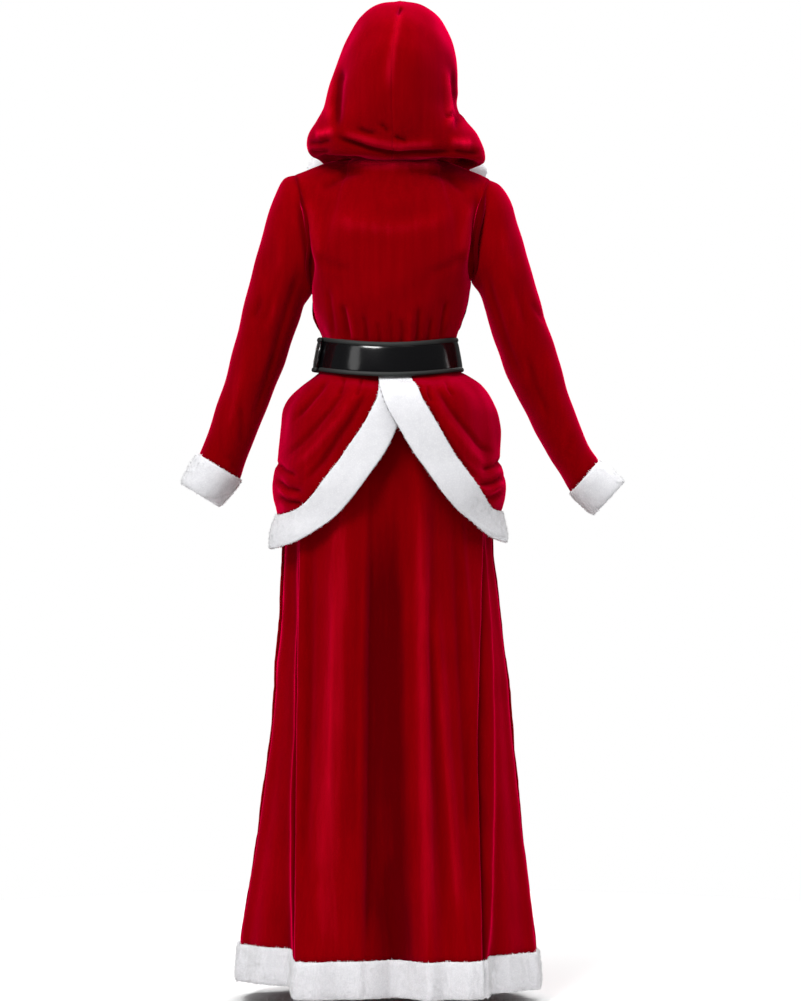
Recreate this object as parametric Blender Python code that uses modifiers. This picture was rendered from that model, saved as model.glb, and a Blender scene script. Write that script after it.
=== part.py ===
"""A hooded christmas costume dress, worn and hollow, in red stretch velour with white plush bands and a black belt.

The front faces -Y and the origin lies between the neck ends of the shoulder seams. All tables are in millimetres
and degrees; a mesh is scaled to metres when it is made. Angles round the body start at the centre back and grow
towards +X, the wearer's left.
"""

import bmesh
import bpy
import numpy as np

MM = 0.001

# Wall and seam sizes
VELOUR_WALL = 2.0
SEAM_GAP = 0.35
HALF_GAP = 0.2
PANEL_GAP = 0.5
TRIM_GAP = 0.75
NORMAL_STEP = 2.0
SHOULDER_GAP = 1.4
HOOD_HALF_GAP = 0.45
V_HALF_GAP = 1.3
CROWN_HALF_GAP = 0.6
PLUSH_OUT = 7.0
PLUSH_IN = 4.0
PLUSH_ACROSS = (0.0, 0.07, 0.42, 0.85, 1.0, 0.85, 0.42, 0.07)
PLUSH_LIFT = (0.1, 0.75, 1.0, 0.8, 0.0, -0.8, -1.0, -0.75)

# How many steps each piece is built in
SKIRT_BACK_STEPS = 48
SKIRT_FRONT_STEPS = 32
SLEEVE_STEPS = 18
NECK_STEPS = 7
SHOULDER_STEPS = 3
PEPLUM_ROUND_STEPS = 20
PEPLUM_DOWN_STEPS = 8
BELT_DEGREES_PER_STEP = 8.4

# Skirt rings, from the waist seam to the hem seam
SKIRT_RINGS = {
    "z": (
        -327.6, -346, -362, -395, -450, -520, -600, -682, -780, -878, -976, -1074, -1172, -1270, -1344, -1367
    ),
    "half_width": (
        111.5, 114, 119, 138, 158, 171, 180, 187.2, 194.6, 203.6, 211.2, 222.6, 234, 247.4, 257.4, 260
    ),
    "centre_x": (2, 2, 2, 3, 4, 5, 5, 5.2, 2, 0.8, -0.2, 0.7, 1.5, 2.6, 3.8, 4.4),
    "back": (90, 91, 92.5, 105, 118, 128, 133, 137, 142, 147, 152, 157, 162, 167, 170, 171),
    "front": (90, 91, 92, 98, 106, 114, 121, 127, 133, 139, 145, 150, 154, 158, 161, 162),
}
SKIRT_SEAM_RADIUS = 140.0
SKIRT_ROWS = (-327.6, -362, -410, -500, -600, -700, -820, -960, -1100, -1240, -1367)

# Each fold of the skirt: its angle at the thigh, the knee and the hem, its width towards lower and higher angles,
# and how far it stands out at the thigh and the hem
SKIRT_FOLDS = {
    "thigh": (56.5, 27, 7, -18, -23, -43, -64, 73, -80, 118, 146, 171, -160, -131, -108),
    "knee": (50, 29, 9.5, -15, -26, -42, -51, 75, -76, 120, 147, 173, -158, -133, -107),
    "hem": (37, 27, -1, -15, -29, -43, -37.5, 77, -73, 122, 149, 170, -160, -135, -106),
    "width_low": (13, 6, 7, 5, 3, 3, 4, 5, 6, 8, 7, 6, 6, 5, 5),
    "width_high": (4, 7, 8, 4, 6, 7, 13, 6, 5, 5, 7, 7, 6, 8, 5),
    "out_thigh": (8, 5, -6, 6, 3, 5, 8, 4, 3, 4, 5, -5, 5, 6, -3),
    "out_hem": (28, 12, -20, 14, 8, 2, 28, 9, 9, 18, 15, -15, 14, 20, -8),
}
FOLD_LEVELS = (-420, -560, -680, -1030, -1367)
FOLD_THIGH_SHARE = (0, 0.5, 1, 0.5, 0)
FOLD_HEM_SHARE = (0, 0, 0, 0.42, 1)

HEM_TOP = -1367.4
HEM_BOTTOM = -1431
HEM_FLARE = 5.0

# Bodice rings below the armholes; lowered is how far a ring drops at the centre back
BODICE_RINGS = {
    "z": (-327, -299, -290, -281, -264, -246, -214),
    "half_width": (111.5, 111.5, 118.5, 126, 133.5, 137.5, 140),
    "centre_x": (2, 2, 2.6, 3, 4, 2.6, -1),
    "back": (89.5, 91, 95, 100, 106, 110, 112),
    "front": (90, 91, 94, 99, 108, 117, 124),
    "lowered": (0, 12, 12, 11, 7, 3, 0),
}

# Armholes and sleeve stations: outer and inner silhouette points, half depth and how far forward the middle lies
ARMHOLE_INSET = 12.0
ARMHOLE_INSET_FADE = 1.2
ARMHOLE_GAP = 0.4
SLEEVE_LEFT = {
    "outer_x": (168, 188, 203, 217, 232, 247, 262, 276, 290, 305, 320, 338),
    "outer_z": (-12, -22, -50, -90, -141, -200, -264, -316, -367, -415, -458, -500),
    "inner_x": (139, 146, 152, 156, 160, 167, 176, 188, 205, 224, 242, 265),
    "inner_z": (-225, -233, -240, -249, -262, -283, -310, -343, -386, -434, -483, -545),
    "half_depth": (62, 61, 60, 58, 55, 52, 50, 47, 45, 43, 40, 37),
    "forward": (0, 0, 0, 0, 0, 1, 3, 6, 10, 14, 19, 25),
}
SLEEVE_RIGHT = {
    "outer_x": (-172, -191, -205, -220, -236, -252, -270, -288, -304, -319, -337, -363),
    "outer_z": (-20, -30, -52, -92, -143, -199, -262, -319, -370, -418, -467, -513),
    "inner_x": (-141, -148, -154, -160, -165, -170, -179, -192, -212, -236, -267, -316),
    "inner_z": (-203, -212, -219, -230, -247, -270, -299, -334, -379, -428, -487, -567),
    "half_depth": (62, 61, 60, 58, 55, 52, 50, 47, 45, 43, 40, 37),
    "forward": (0, 0, 0, 0, 0, 1, 3, 6, 10, 14, 19, 25),
}

# The plush cuffs, from the sleeve seam to the open end
CUFF_LEFT = {
    "outer_x": (338, 368),
    "outer_z": (-500, -552),
    "inner_x": (265, 303.5),
    "inner_z": (-545, -591.5),
}
CUFF_RIGHT = {
    "outer_x": (-363, -409),
    "outer_z": (-513, -549.5),
    "inner_x": (-316, -357),
    "inner_z": (-567, -605.5),
}
CUFF_FORWARD = (25, 29)
CUFF_HALF_DEPTH = (37, 37)

# Neckline points
NAPE = (-4, 58, 10)
NECK_SIDE_LEFT = (72, 4, 17)
NECK_SIDE_RIGHT = (-80, 4, 14)
V_POINT = (-4, -104, -88)
NECK_BEND_BACK = (14, 8)
NECK_BEND_FRONT = (10, 28)
SHOULDER_SLOPE_BACK = 0.5
SHOULDER_SLOPE_FRONT = 1.1
SHOULDER_ARCH = 3.0
BODICE_BACK_DEPTH = {"z": (-213, -180, -140, -100, -60, -25, 10), "y": (111, 113, 112, 108, 98, 82, 60)}
BODICE_FRONT_DEPTH = {"z": (-213, -180, -140, -100, -60, -25, 10), "y": (-124, -125, -119, -109, -98, -84, -60)}

# Hood rows from the neckline to the crown: seam point, widest point, face edge, and the sideways lean of the row
HOOD_ROWS = {
    "seam_x": (-4, -4, -4, -4, -4, -3, -2, -2, -3, -5, -8, -12, -16, -18),
    "seam_y": (58, 80, 100, 112, 120, 127, 132, 135, 134, 127, 110, 84, 55, 22),
    "seam_z": (10, 8, 14, 30, 50, 74, 100, 132, 166, 200, 232, 260, 279, 289),
    "side_x": (76, 112, 147, 155, 148, 132, 118, 112, 107, 100, 88, 70, 42, 0),
    "side_y": (4, 6, 8, 9, 9, 8, 6, 5, 2, 0, -4, -8, -12, -20),
    "side_z": (16, 27, 20, 36, 58, 80, 106, 136, 168, 200, 232, 263, 284, 290),
    "face_x": (0, 52, 97, 122, 122, 114, 103, 95, 90, 84, 73, 56, 32, 0),
    "face_y": (-102, -106, -92, -78, -78, -88, -99, -107, -112, -117, -120, -122, -123, -123),
    "face_z": (-88, -40, -6, 14, 38, 64, 94, 126, 156, 184, 208, 224, 233, 236),
    "lean": (-4, -9, -11, -8, -3, 0, -1, -6, -11, -13.5, -15, -14, -14, -18),
    "droop_right": (0, -2, 12, 9, 3, 0, 0, 0, 0, 0, 0, 0, 0, 0),
}
HOOD_BASE_LIFT = 0.95
HOOD_BASE_RISE = 0.3
HOOD_FRONT_POWER = 2.2
HOOD_TRIM_WIDTH = 50.0
V_STAND_OFF = 2.5
V_FADE_STEPS = 3
HOOD_TRIM_V_TURN = (0.0, -0.5, -0.87)
HOOD_TRIM_TURN = {
    "step": (0, 1, 2, 3, 4, 5, 6, 8, 11, 13),
    "x": (0, 0.44, 0.68, 0.70, 0.44, 0.18, 0.04, -0.05, 0.0, 0),
    "y": (-0.50, -0.50, -0.52, -0.65, -0.88, -0.98, -1.0, -0.99, -0.95, -0.93),
    "z": (-0.87, -0.75, -0.56, -0.41, -0.24, -0.10, -0.05, -0.05, -0.25, -0.36),
}

# The puffed surface of the peplum, from the waist down; lowered is how far it drops at the centre back
PEPLUM_PROFILE = {
    "z": (-346, -357.5, -363, -373, -390, -420, -452, -490, -515, -532, -560, -580, -602, -640, -670),
    "half_width": (120, 122.5, 132, 148, 165, 184, 190, 192, 194, 199, 203.5, 202, 197, 206, 207),
    "back": (94.5, 98.5, 109, 125, 138, 147, 152, 156, 158, 160, 162, 162, 162, 163, 163),
    "front": (94.5, 97, 105, 117, 130, 140, 144, 147, 149, 151, 152, 152, 152, 153, 153),
    "lowered": (12, 13.5, 16, 14, 8, 3, 0, 0, 0, 0, 0, 0, 0, 0, 0),
    "centre_x": (2, 2, 1, 0, 0, 1, 1.5, 3, 3, 3, 3, 3, 3, 4, 5),
    "plush_share": (0.2, 0.22, 0.25, 0.45, 0.8, 1, 1, 1, 1, 1, 1, 1, 1, 1, 1),
}
# The seam between velour and plush and the free edge of the plush, as angle and height, from centre back to side
PEPLUM_EDGE_LEFT = {
    "seam_angle": (9, 8.4, 8.2, 14, 22, 31, 42, 56, 74, 90),
    "seam_z": (-346, -370, -404, -451, -491, -533, -576, -598, -606, -607),
    "free_angle": (-18, -11, -7, -0.5, 8.5, 18.5, 32.5, 49, 70, 90),
    "free_z": (-346, -372, -420, -482, -530, -577, -620, -650, -663, -664),
}
PEPLUM_EDGE_RIGHT = {
    "seam_angle": (-19, -16.5, -17, -22, -31, -40, -52, -64, -78, -90),
    "seam_z": (-346, -370, -403, -440, -489, -533, -571, -594, -600, -600),
    "free_angle": (9, 7.5, 0.5, -7, -17, -27, -41, -56, -74, -90),
    "free_z": (-346, -372, -428, -472, -526, -574, -614, -641, -652, -653),
}
PEPLUM_LAP = 12.5
LAP_EXTRA = 0.06
LAP_FADE_START = 34.0
LAP_FADE_END = 62.0
PEPLUM_CORNER_SHARE = 1 / 9
PEPLUM_FIRST_ROWS = (-346, -357.5, -364)
PEPLUM_DOWN_POWER = 1.1
PEPLUM_TRIM_STEPS = 36

# The belt, one length that starts at the buckle and ends lapped over itself
BELT_TOP_Z = -297.0
BELT_HEIGHT = 60.0
BELT_LOWERED = 12.0
LOWERING_AT_FRONT = 0.2
BELT_TOP_HALF = (113, 93.5, 92.5)
BELT_BOTTOM_HALF = (124, 106.5, 106.5)
BELT_CENTRE_X = 2.0
STRAP_THICKNESS = 2.5
BINDING_HEIGHT = 8.0
BINDING_THICKNESS = 7.0
BELT_START = 170.0
BELT_END = -287.0
LAP_FROM = -158.0
LAP_TO = -188.0
LAP_RISE = 7.6

# The buckle at the centre front: angles of its bars, heights as a share of the belt, distances from its inner side
BUCKLE_OUTER = (170.5, 196.0, -0.06, 1.06)
BUCKLE_INNER = (173.0, 193.6, -0.008, 1.008)
BUCKLE_CORNER = 0.06
BUCKLE_OUT = (3.0, 9.0)
BUCKLE_THICKNESS = 3.2
PRONG_HEIGHTS = (0.32, 0.68)
PRONG_SIZE = 2.6
PRONG_PATH = {"angle": (173.7, 176.4, 177.5, 178.6, 184, 196.5), "out": (4.7, 5.0, 8.2, 11.6, 13.1, 14.3)}
HOLE_RADIUS = 3.0
HOLE_CUTTER_LENGTH = 12.0
HOLE_ANGLE = 177.5


def smooth(knots, values, at):
    """A smooth curve through the table values, with the slope of its neighbours at each one."""
    knots = np.asarray(knots, float)
    values = np.asarray(values, float)
    if knots[0] > knots[-1]:
        knots = knots[::-1]
        values = values[::-1]
    slopes = np.gradient(values, knots)
    at = np.clip(np.asarray(at, float), knots[0], knots[-1])
    low = np.clip(np.searchsorted(knots, at) - 1, 0, len(knots) - 2)
    span = knots[low + 1] - knots[low]
    t = (at - knots[low]) / span
    start = (1 + 2 * t) * (1 - t) ** 2 * values[low] + t * (1 - t) ** 2 * span * slopes[low]
    end = t * t * (3 - 2 * t) * values[low + 1] + t * t * (t - 1) * span * slopes[low + 1]
    return start + end


def lowering(angles):
    """How much of its lowering a ring takes at each angle: all at the centre back and little at the front."""
    level = np.cos(np.radians(angles))
    return level**2 * np.where(level > 0, 1, LOWERING_AT_FRONT)


def unit(vectors):
    return vectors / np.linalg.norm(vectors, axis=-1, keepdims=True)


def ring(angles, half_width, back, front, centre_x):
    """Points x, y of an egg shaped ring and its outward direction there."""
    turn = np.radians(angles)
    depth = np.where(np.cos(turn) > 0, back, front)
    x = centre_x + half_width * np.sin(turn)
    y = depth * np.cos(turn)
    out = unit(np.stack([np.sin(turn) * depth, np.cos(turn) * half_width], -1))
    return x, y, out


def fold_height(angles, z):
    """How far the folds of the skirt stand out at each angle of the ring at z."""
    height = np.zeros(np.broadcast(angles, z).shape)
    thigh_share = smooth(FOLD_LEVELS, FOLD_THIGH_SHARE, z)
    hem_share = smooth(FOLD_LEVELS, FOLD_HEM_SHARE, z)
    for thigh, knee, hem, low, high, out_thigh, out_hem in zip(*SKIRT_FOLDS.values()):
        middle = smooth((-1367, -1030, -680), (hem, knee, thigh), z)
        away = (angles - middle + 180) % 360 - 180
        width = np.where(away < 0, low, high)
        height = height + (out_thigh * thigh_share + out_hem * hem_share) * np.exp(-((away / width) ** 2))
    return height


def skirt_points(angles, z, out=0.0):
    """Points of the skirt's outer surface, moved outwards by out."""
    angles = np.asarray(angles, float)
    z = np.broadcast_to(np.asarray(z, float), angles.shape)
    sizes = [smooth(SKIRT_RINGS["z"], SKIRT_RINGS[name], z) for name in ("half_width", "back", "front", "centre_x")]
    x, y, outward = ring(angles, *sizes)
    shift = fold_height(angles, z) + out
    return np.stack([x + outward[..., 0] * shift, y + outward[..., 1] * shift, z], -1)


def material(name, colour, roughness, metallic=0.0):
    made = bpy.data.materials.new(name)
    made.use_nodes = True
    shader = made.node_tree.nodes["Principled BSDF"]
    shader.inputs["Base Color"].default_value = (*colour, 1)
    shader.inputs["Roughness"].default_value = roughness
    shader.inputs["Metallic"].default_value = metallic
    return made


def add_object(name, points, faces, surface, smooth_shading=True):
    mesh = bpy.data.meshes.new(name)
    mesh.from_pydata((np.asarray(points, float).reshape(-1, 3) * MM).tolist(), [], faces)
    mesh.materials.append(surface)
    mesh.polygons.foreach_set("use_smooth", [smooth_shading] * len(mesh.polygons))
    made = bpy.data.objects.new(name, mesh)
    dress.objects.link(made)
    return made


def grid_faces(rows, columns, around):
    """Quads of a grid whose points are listed row by row."""
    faces = []
    for row in range(rows - 1):
        for column in range(columns if around else columns - 1):
            after = (column + 1) % columns
            here = row * columns
            faces.append((here + column, here + columns + column, here + columns + after, here + after))
    return faces


def add_cloth(name, points, around=False, flip=False):
    """An open surface of velour, made a wall that grows inwards."""
    rows, columns = points.shape[:2]
    faces = grid_faces(rows, columns, around)
    if flip:
        faces = [face[::-1] for face in faces]
    made = add_object(name, points, faces, velour)
    wall = made.modifiers.new("Wall", "SOLIDIFY")
    wall.thickness = VELOUR_WALL * MM
    wall.offset = -1
    wall.use_even_offset = True
    wall.use_quality_normals = True
    return made


def add_band(name, sections, surface, around=False, smooth_shading=True):
    """A closed body swept through sections that are closed rings; its ends are capped unless it runs around."""
    stations, corners = sections.shape[:2]
    faces = []
    for station in range(stations if around else stations - 1):
        after = (station + 1) % stations
        for corner in range(corners):
            beside = (corner + 1) % corners
            faces.append(
                (
                    station * corners + corner,
                    station * corners + beside,
                    after * corners + beside,
                    after * corners + corner,
                )
            )
    if not around:
        faces.append(tuple(range(corners))[::-1])
        faces.append(tuple((stations - 1) * corners + corner for corner in range(corners)))
    made = add_object(name, sections, faces, surface, smooth_shading)
    turned = bmesh.new()
    turned.from_mesh(made.data)
    bmesh.ops.recalc_face_normals(turned, faces=turned.faces)
    turned.to_mesh(made.data)
    turned.free()
    return made


def plush_section(base, outward, outer_share=1.0, inner_share=1.0):
    """Rings of a plush band, rounded and thicker than the velour; base gives its points at a share of its width."""
    points = []
    for across, lift in zip(PLUSH_ACROSS, PLUSH_LIFT):
        size = PLUSH_OUT * lift * outer_share if lift > 0 else PLUSH_IN * lift * inner_share
        points.append(base(across) + outward * np.reshape(size, (-1, 1)))
    return np.stack(points, 1)


def straight(seam, free):
    return lambda across: seam + (free - seam) * across


# Start from an empty scene
for old in list(bpy.data.objects):
    bpy.data.objects.remove(old, do_unlink=True)
dress = bpy.data.collections.new("christmas_costume_dress")
bpy.context.scene.collection.children.link(dress)
cutters = bpy.data.collections.new("cutters")
cutters.hide_render = True
bpy.context.scene.collection.children.link(cutters)
velour = material("red_velour", (0.27, 0.003, 0.008), 0.75)
plush = material("white_plush", (0.86, 0.86, 0.88), 0.95)
strap_pvc = material("black_gloss_pvc", (0.006, 0.006, 0.007), 0.18)
binding_tape = material("black_binding_tape", (0.013, 0.015, 0.014), 0.7)
nickel = material("nickel", (0.72, 0.71, 0.69), 0.28, 1.0)

# Skirt panels, joined at the sides
side_gap = np.degrees(SEAM_GAP / SKIRT_SEAM_RADIUS)


def panel_angles(first, last, steps):
    """Angles of a panel's columns, with its two seam edges drawn back by a seam gap."""
    angles = np.linspace(first, last, steps + 1)
    angles[0] += side_gap
    angles[-1] -= side_gap
    return angles


back_angles = panel_angles(-90, 90, SKIRT_BACK_STEPS)
front_angles = panel_angles(90, 270, SKIRT_FRONT_STEPS)
for name, angles in (("skirt_back", back_angles), ("skirt_front", front_angles)):
    add_cloth(name, np.stack([skirt_points(angles, z) for z in SKIRT_ROWS]), flip=True)

# Hem bands, sewn edge to edge to the skirt
for name, angles in (("hem_band_back", back_angles), ("hem_band_front", front_angles)):
    seam = skirt_points(angles, SKIRT_ROWS[-1])
    seam[:, 2] = HEM_TOP
    ahead = np.roll(seam, -1, 0) - np.roll(seam, 1, 0)
    ahead[0] = seam[1] - seam[0]
    ahead[-1] = seam[-1] - seam[-2]
    outward = unit(np.stack([-ahead[:, 1], ahead[:, 0], 0 * ahead[:, 0]], -1))
    free = seam + outward * HEM_FLARE
    free[:, 2] = HEM_BOTTOM
    add_band(name, plush_section(straight(seam, free), outward), plush)

# Armholes, shared by the bodice and the sleeves


def sleeve_rings(table, turns, inset=True):
    """Rings of a sleeve: turn 0 is on top, 90 at the back and 180 underneath."""
    turn = np.radians(turns)[None, :]
    column = {key: np.asarray(value, float)[:, None] for key, value in table.items()}
    middle_x = (column["outer_x"] + column["inner_x"]) / 2
    middle_z = (column["outer_z"] + column["inner_z"]) / 2
    x = middle_x + (column["outer_x"] - column["inner_x"]) / 2 * np.cos(turn)
    z = middle_z + (column["outer_z"] - column["inner_z"]) / 2 * np.cos(turn)
    y = column["half_depth"] * np.sin(turn) - column["forward"]
    if inset:
        share = np.exp(-np.arange(len(x)) / ARMHOLE_INSET_FADE)[:, None]
        x = x - np.sign(middle_x) * ARMHOLE_INSET * share * np.sin(turn) ** 2
    return np.stack([x, y, z], -1)


def neckline(side_point, end_point, steps, spread, belly):
    """Points from the neck side to the nape or to the point of the V, bent sideways by spread and outwards by belly."""
    t = np.linspace(0, 1, steps + 1)[:, None]
    side_point = np.asarray(side_point, float)
    end_point = np.asarray(end_point, float)
    points = side_point + (end_point - side_point) * t
    points[:, 0] += np.sign(side_point[0]) * spread * np.sin(np.pi * t[:, 0])
    points[:, 1] += np.sign(end_point[1]) * belly * np.sin(np.pi * t[:, 0])
    return points


def shoulder(tip, side_point):
    t = np.linspace(0, 1, SHOULDER_STEPS + 1)[:, None]
    points = np.asarray(tip, float) + (np.asarray(side_point, float) - tip) * t
    points[:, 2] += SHOULDER_ARCH * np.sin(np.pi * t[:, 0])
    return points


def bodice_panel(is_back):
    """Rows of one bodice panel from the waist to the shoulders, right side to left side as seen from the back."""
    half_turns = np.linspace(180, 0, SLEEVE_STEPS // 2 + 1) * (1 if is_back else -1)
    edges = {}
    for side, table in (("right", SLEEVE_RIGHT), ("left", SLEEVE_LEFT)):
        first = {key: value[:1] for key, value in table.items()}
        edges[side] = sleeve_rings(first, half_turns)[0]
        edges[side + "_middle"] = sleeve_rings(first, np.array([90.0 if is_back else -90.0]))[0][0]
    bend = NECK_BEND_BACK if is_back else NECK_BEND_FRONT
    end = NAPE if is_back else V_POINT
    neck_right = neckline(NECK_SIDE_RIGHT, end, NECK_STEPS, *bend)
    neck_left = neckline(NECK_SIDE_LEFT, end, NECK_STEPS, *bend)
    tip_right = shoulder(edges["right"][-1], NECK_SIDE_RIGHT)
    tip_left = shoulder(edges["left"][-1], NECK_SIDE_LEFT)
    top = np.concatenate([tip_right, neck_right[1:], neck_left[:-1][::-1], tip_left[:-1][::-1]])
    across = np.linspace(-1, 1, len(top))
    angles = 90 * across if is_back else 180 - 90 * across
    rows = []
    for z, half_width, centre_x, back, front, lowered in zip(*BODICE_RINGS.values()):
        x, y, _ = ring(angles, half_width, back, front, centre_x)
        rows.append(np.stack([x, y, z - lowered * lowering(angles)], -1))
    tilt = np.array((edges["right"][0], edges["left"][0])) - rows[-1][[0, -1]]
    rows[-1] += tilt[0] + (tilt[1] - tilt[0]) * (np.sin(np.pi / 2 * across)[:, None] + 1) / 2
    depth = BODICE_BACK_DEPTH if is_back else BODICE_FRONT_DEPTH
    turn = np.pi / 2 * across
    low = rows[-1]
    share = (np.sin(turn)[:, None] + 1) / 2
    tips = top[0] + (top[-1] - top[0]) * share

    def raised(half_turn, right, left):
        """The row of the armhole's half turn, which runs from one edge point to the other."""
        risen = (1 - np.cos(np.radians(180 - abs(half_turn)))) / 2
        row = right + (left - right) * share
        row[:, 0] += risen**2 * (top - tips)[:, 0]
        row[:, 2] = low[:, 2] + (top[:, 2] - low[:, 2]) * risen
        row[:, 1] += (smooth(depth["z"], depth["y"], row[:, 2]) - row[:, 1]) * np.cos(turn)
        return row

    half_way = 90 if is_back else -90
    slope = SHOULDER_SLOPE_BACK if is_back else SHOULDER_SLOPE_FRONT
    middle = raised(half_way, edges["right_middle"], edges["left_middle"])
    for step, half_turn in enumerate(half_turns[1:], 1):
        row = raised(half_turn, edges["right"][step], edges["left"][step])
        if abs(half_turn) < 90:
            rounding = np.sin(np.radians(abs(half_turn))) ** (1 + slope * np.cos(turn))
            row[:, 1] = top[:, 1] + (middle[:, 1] - top[:, 1]) * rounding
        rows.append(row)
    rows[-1] = top
    return np.stack(rows)


def draw_back(points):
    """Moves the side, neck and shoulder edges of a panel inwards, so that a seam gap is left to the next piece."""
    points = points.copy()
    points[:, 0] += unit(points[:, 1] - points[:, 0]) * PANEL_GAP
    points[:, -1] += unit(points[:, -2] - points[:, -1]) * PANEL_GAP
    gap = np.full((points.shape[1], 1), HALF_GAP)
    gap[: SHOULDER_STEPS + 1] = SHOULDER_GAP
    gap[-SHOULDER_STEPS - 1 :] = SHOULDER_GAP
    points[-1] += unit(points[-2] - points[-1]) * gap
    return points


back_panel = bodice_panel(True)
front_panel = bodice_panel(False)
add_cloth("bodice_back", draw_back(back_panel))
add_cloth("bodice_front", draw_back(front_panel), flip=True)

# Sleeves, set into the armholes
sleeve_turns = np.arange(SLEEVE_STEPS) * 360 / SLEEVE_STEPS
for name, table, way in (("sleeve_left", SLEEVE_LEFT, 1), ("sleeve_right", SLEEVE_RIGHT, -1)):
    rings = sleeve_rings(table, sleeve_turns)
    rings[0, :, 0] += way * ARMHOLE_GAP
    rings[0] += unit(rings[1] - rings[0]) * ARMHOLE_GAP
    add_cloth(name, rings, around=True, flip=way < 0)

# Cuffs, sewn edge to edge to the sleeves
for name, sleeve, table, way in (
    ("cuff_left", SLEEVE_LEFT, CUFF_LEFT, 1),
    ("cuff_right", SLEEVE_RIGHT, CUFF_RIGHT, -1),
):
    whole = dict(table, half_depth=CUFF_HALF_DEPTH, forward=CUFF_FORWARD)
    ends = sleeve_rings(whole, sleeve_turns, inset=False)
    along = unit(ends[1].mean(0) - ends[0].mean(0))
    seam = ends[0] + along * SEAM_GAP
    outward = unit(seam - seam.mean(0))
    add_band(name, plush_section(straight(seam, ends[1]), outward), plush, around=True)


# Hood halves, joined by the centre seam and sewn to the neckline


def hood_rows(side):
    """Rows of one hood half from the neckline to the crown, each from the centre seam to the face edge."""
    column = {key: np.asarray(value, float) for key, value in HOOD_ROWS.items()}
    is_left = side == "left"
    way = 1 if is_left else -1
    neck_side = NECK_SIDE_LEFT if is_left else NECK_SIDE_RIGHT
    base_back = neckline(neck_side, NAPE, NECK_STEPS, *NECK_BEND_BACK)[::-1]
    base_front = neckline(neck_side, V_POINT, NECK_STEPS, *NECK_BEND_FRONT)
    middle = SHOULDER_STEPS + NECK_STEPS
    neck_columns = middle + way * np.arange(NECK_STEPS + 1)
    lift = [unit(panel[-1, neck_columns] - panel[-2, neck_columns]) for panel in (back_panel, front_panel)]
    lift = np.concatenate([lift[0], lift[1][::-1][1:]]) * HOOD_BASE_LIFT
    rows = [np.concatenate([base_back, base_front[1:]]) + lift + (0, 0, HOOD_BASE_RISE)]
    quarter = np.linspace(0, np.pi / 2, NECK_STEPS + 1)
    for row in range(1, len(column["seam_x"])):
        value = {key: column[key][row] for key in column}
        reach_side = value["lean"] + way * value["side_x"]
        reach_face = value["lean"] + way * value["face_x"]
        value["side_z"] -= 0 if is_left else value["droop_right"]
        value["face_z"] -= 0 if is_left else value["droop_right"] / 2
        back = np.stack(
            [
                value["seam_x"] + (reach_side - value["seam_x"]) * np.sin(quarter),
                value["side_y"] + (value["seam_y"] - value["side_y"]) * np.cos(quarter),
                value["side_z"] + (value["seam_z"] - value["side_z"]) * np.cos(quarter) ** 2,
            ],
            -1,
        )
        front = np.stack(
            [
                reach_face + (reach_side - reach_face) * np.cos(quarter),
                value["side_y"] + (value["face_y"] - value["side_y"]) * quarter / quarter[-1],
                value["side_z"] + (value["face_z"] - value["side_z"]) * (quarter / quarter[-1]) ** HOOD_FRONT_POWER,
            ],
            -1,
        )
        rows.append(np.concatenate([back, front[1:]]))
    return np.stack(rows)


for name, side, way in (("hood_left", "left", 1), ("hood_right", "right", -1)):
    rows = hood_rows(side)
    rows[:, 0, 0] += way * HOOD_HALF_GAP
    rows[-1, :, 0] = HOOD_ROWS["seam_x"][-1] + way * CROWN_HALF_GAP
    rows[0, -1, 0] += way * V_HALF_GAP
    add_cloth(name, rows, flip=way < 0)

# One plush strip round the face opening, whose ends meet at the point of the V
left_edge = hood_rows("left")[:, -1]
right_edge = hood_rows("right")[:, -1]
seam = np.concatenate([left_edge, right_edge[::-1][1:]])
steps = np.arange(len(left_edge))
turn = np.stack([smooth(HOOD_TRIM_TURN["step"], HOOD_TRIM_TURN[axis], steps) for axis in "xyz"], -1)
turn = unit(np.concatenate([turn, (turn * (-1, 1, 1))[::-1][1:]]))
ahead = np.gradient(seam, axis=0)
turn = unit(turn - ahead * (turn * ahead).sum(-1, keepdims=True) / (ahead * ahead).sum(-1, keepdims=True))
turn[0] = turn[-1] = unit(np.array(HOOD_TRIM_V_TURN))
outward = -unit(np.cross(ahead, turn))
outward[0] = outward[-1] = unit(np.array((0, HOOD_TRIM_V_TURN[2], -HOOD_TRIM_V_TURN[1])))
seam = seam + turn * SEAM_GAP
seam[0, 0] += SEAM_GAP
seam[-1, 0] -= SEAM_GAP
from_point = np.minimum(np.arange(len(seam)), np.arange(len(seam))[::-1])
inner_share = np.clip(from_point / V_FADE_STEPS, 0.1, 1)
seam = seam + outward * (V_STAND_OFF * np.clip(1 - from_point / V_FADE_STEPS, 0, 1))[:, None]
strip = straight(seam, seam + turn * HOOD_TRIM_WIDTH)
add_band("hood_trim", plush_section(strip, outward, 1.0, inner_share), plush)

# Peplum halves, puffed and sewn in at the waist, each with its plush edging


def puffed_points(angles, z):
    """Points on the puffed surface at an angle and a height of its profile."""
    names = ("half_width", "back", "front", "centre_x")
    x, y, _ = ring(angles, *[smooth(PEPLUM_PROFILE["z"], PEPLUM_PROFILE[name], z) for name in names])
    lowered = smooth(PEPLUM_PROFILE["z"], PEPLUM_PROFILE["lowered"], z) * lowering(angles)
    return np.stack([x, y, z - lowered], -1)


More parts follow.
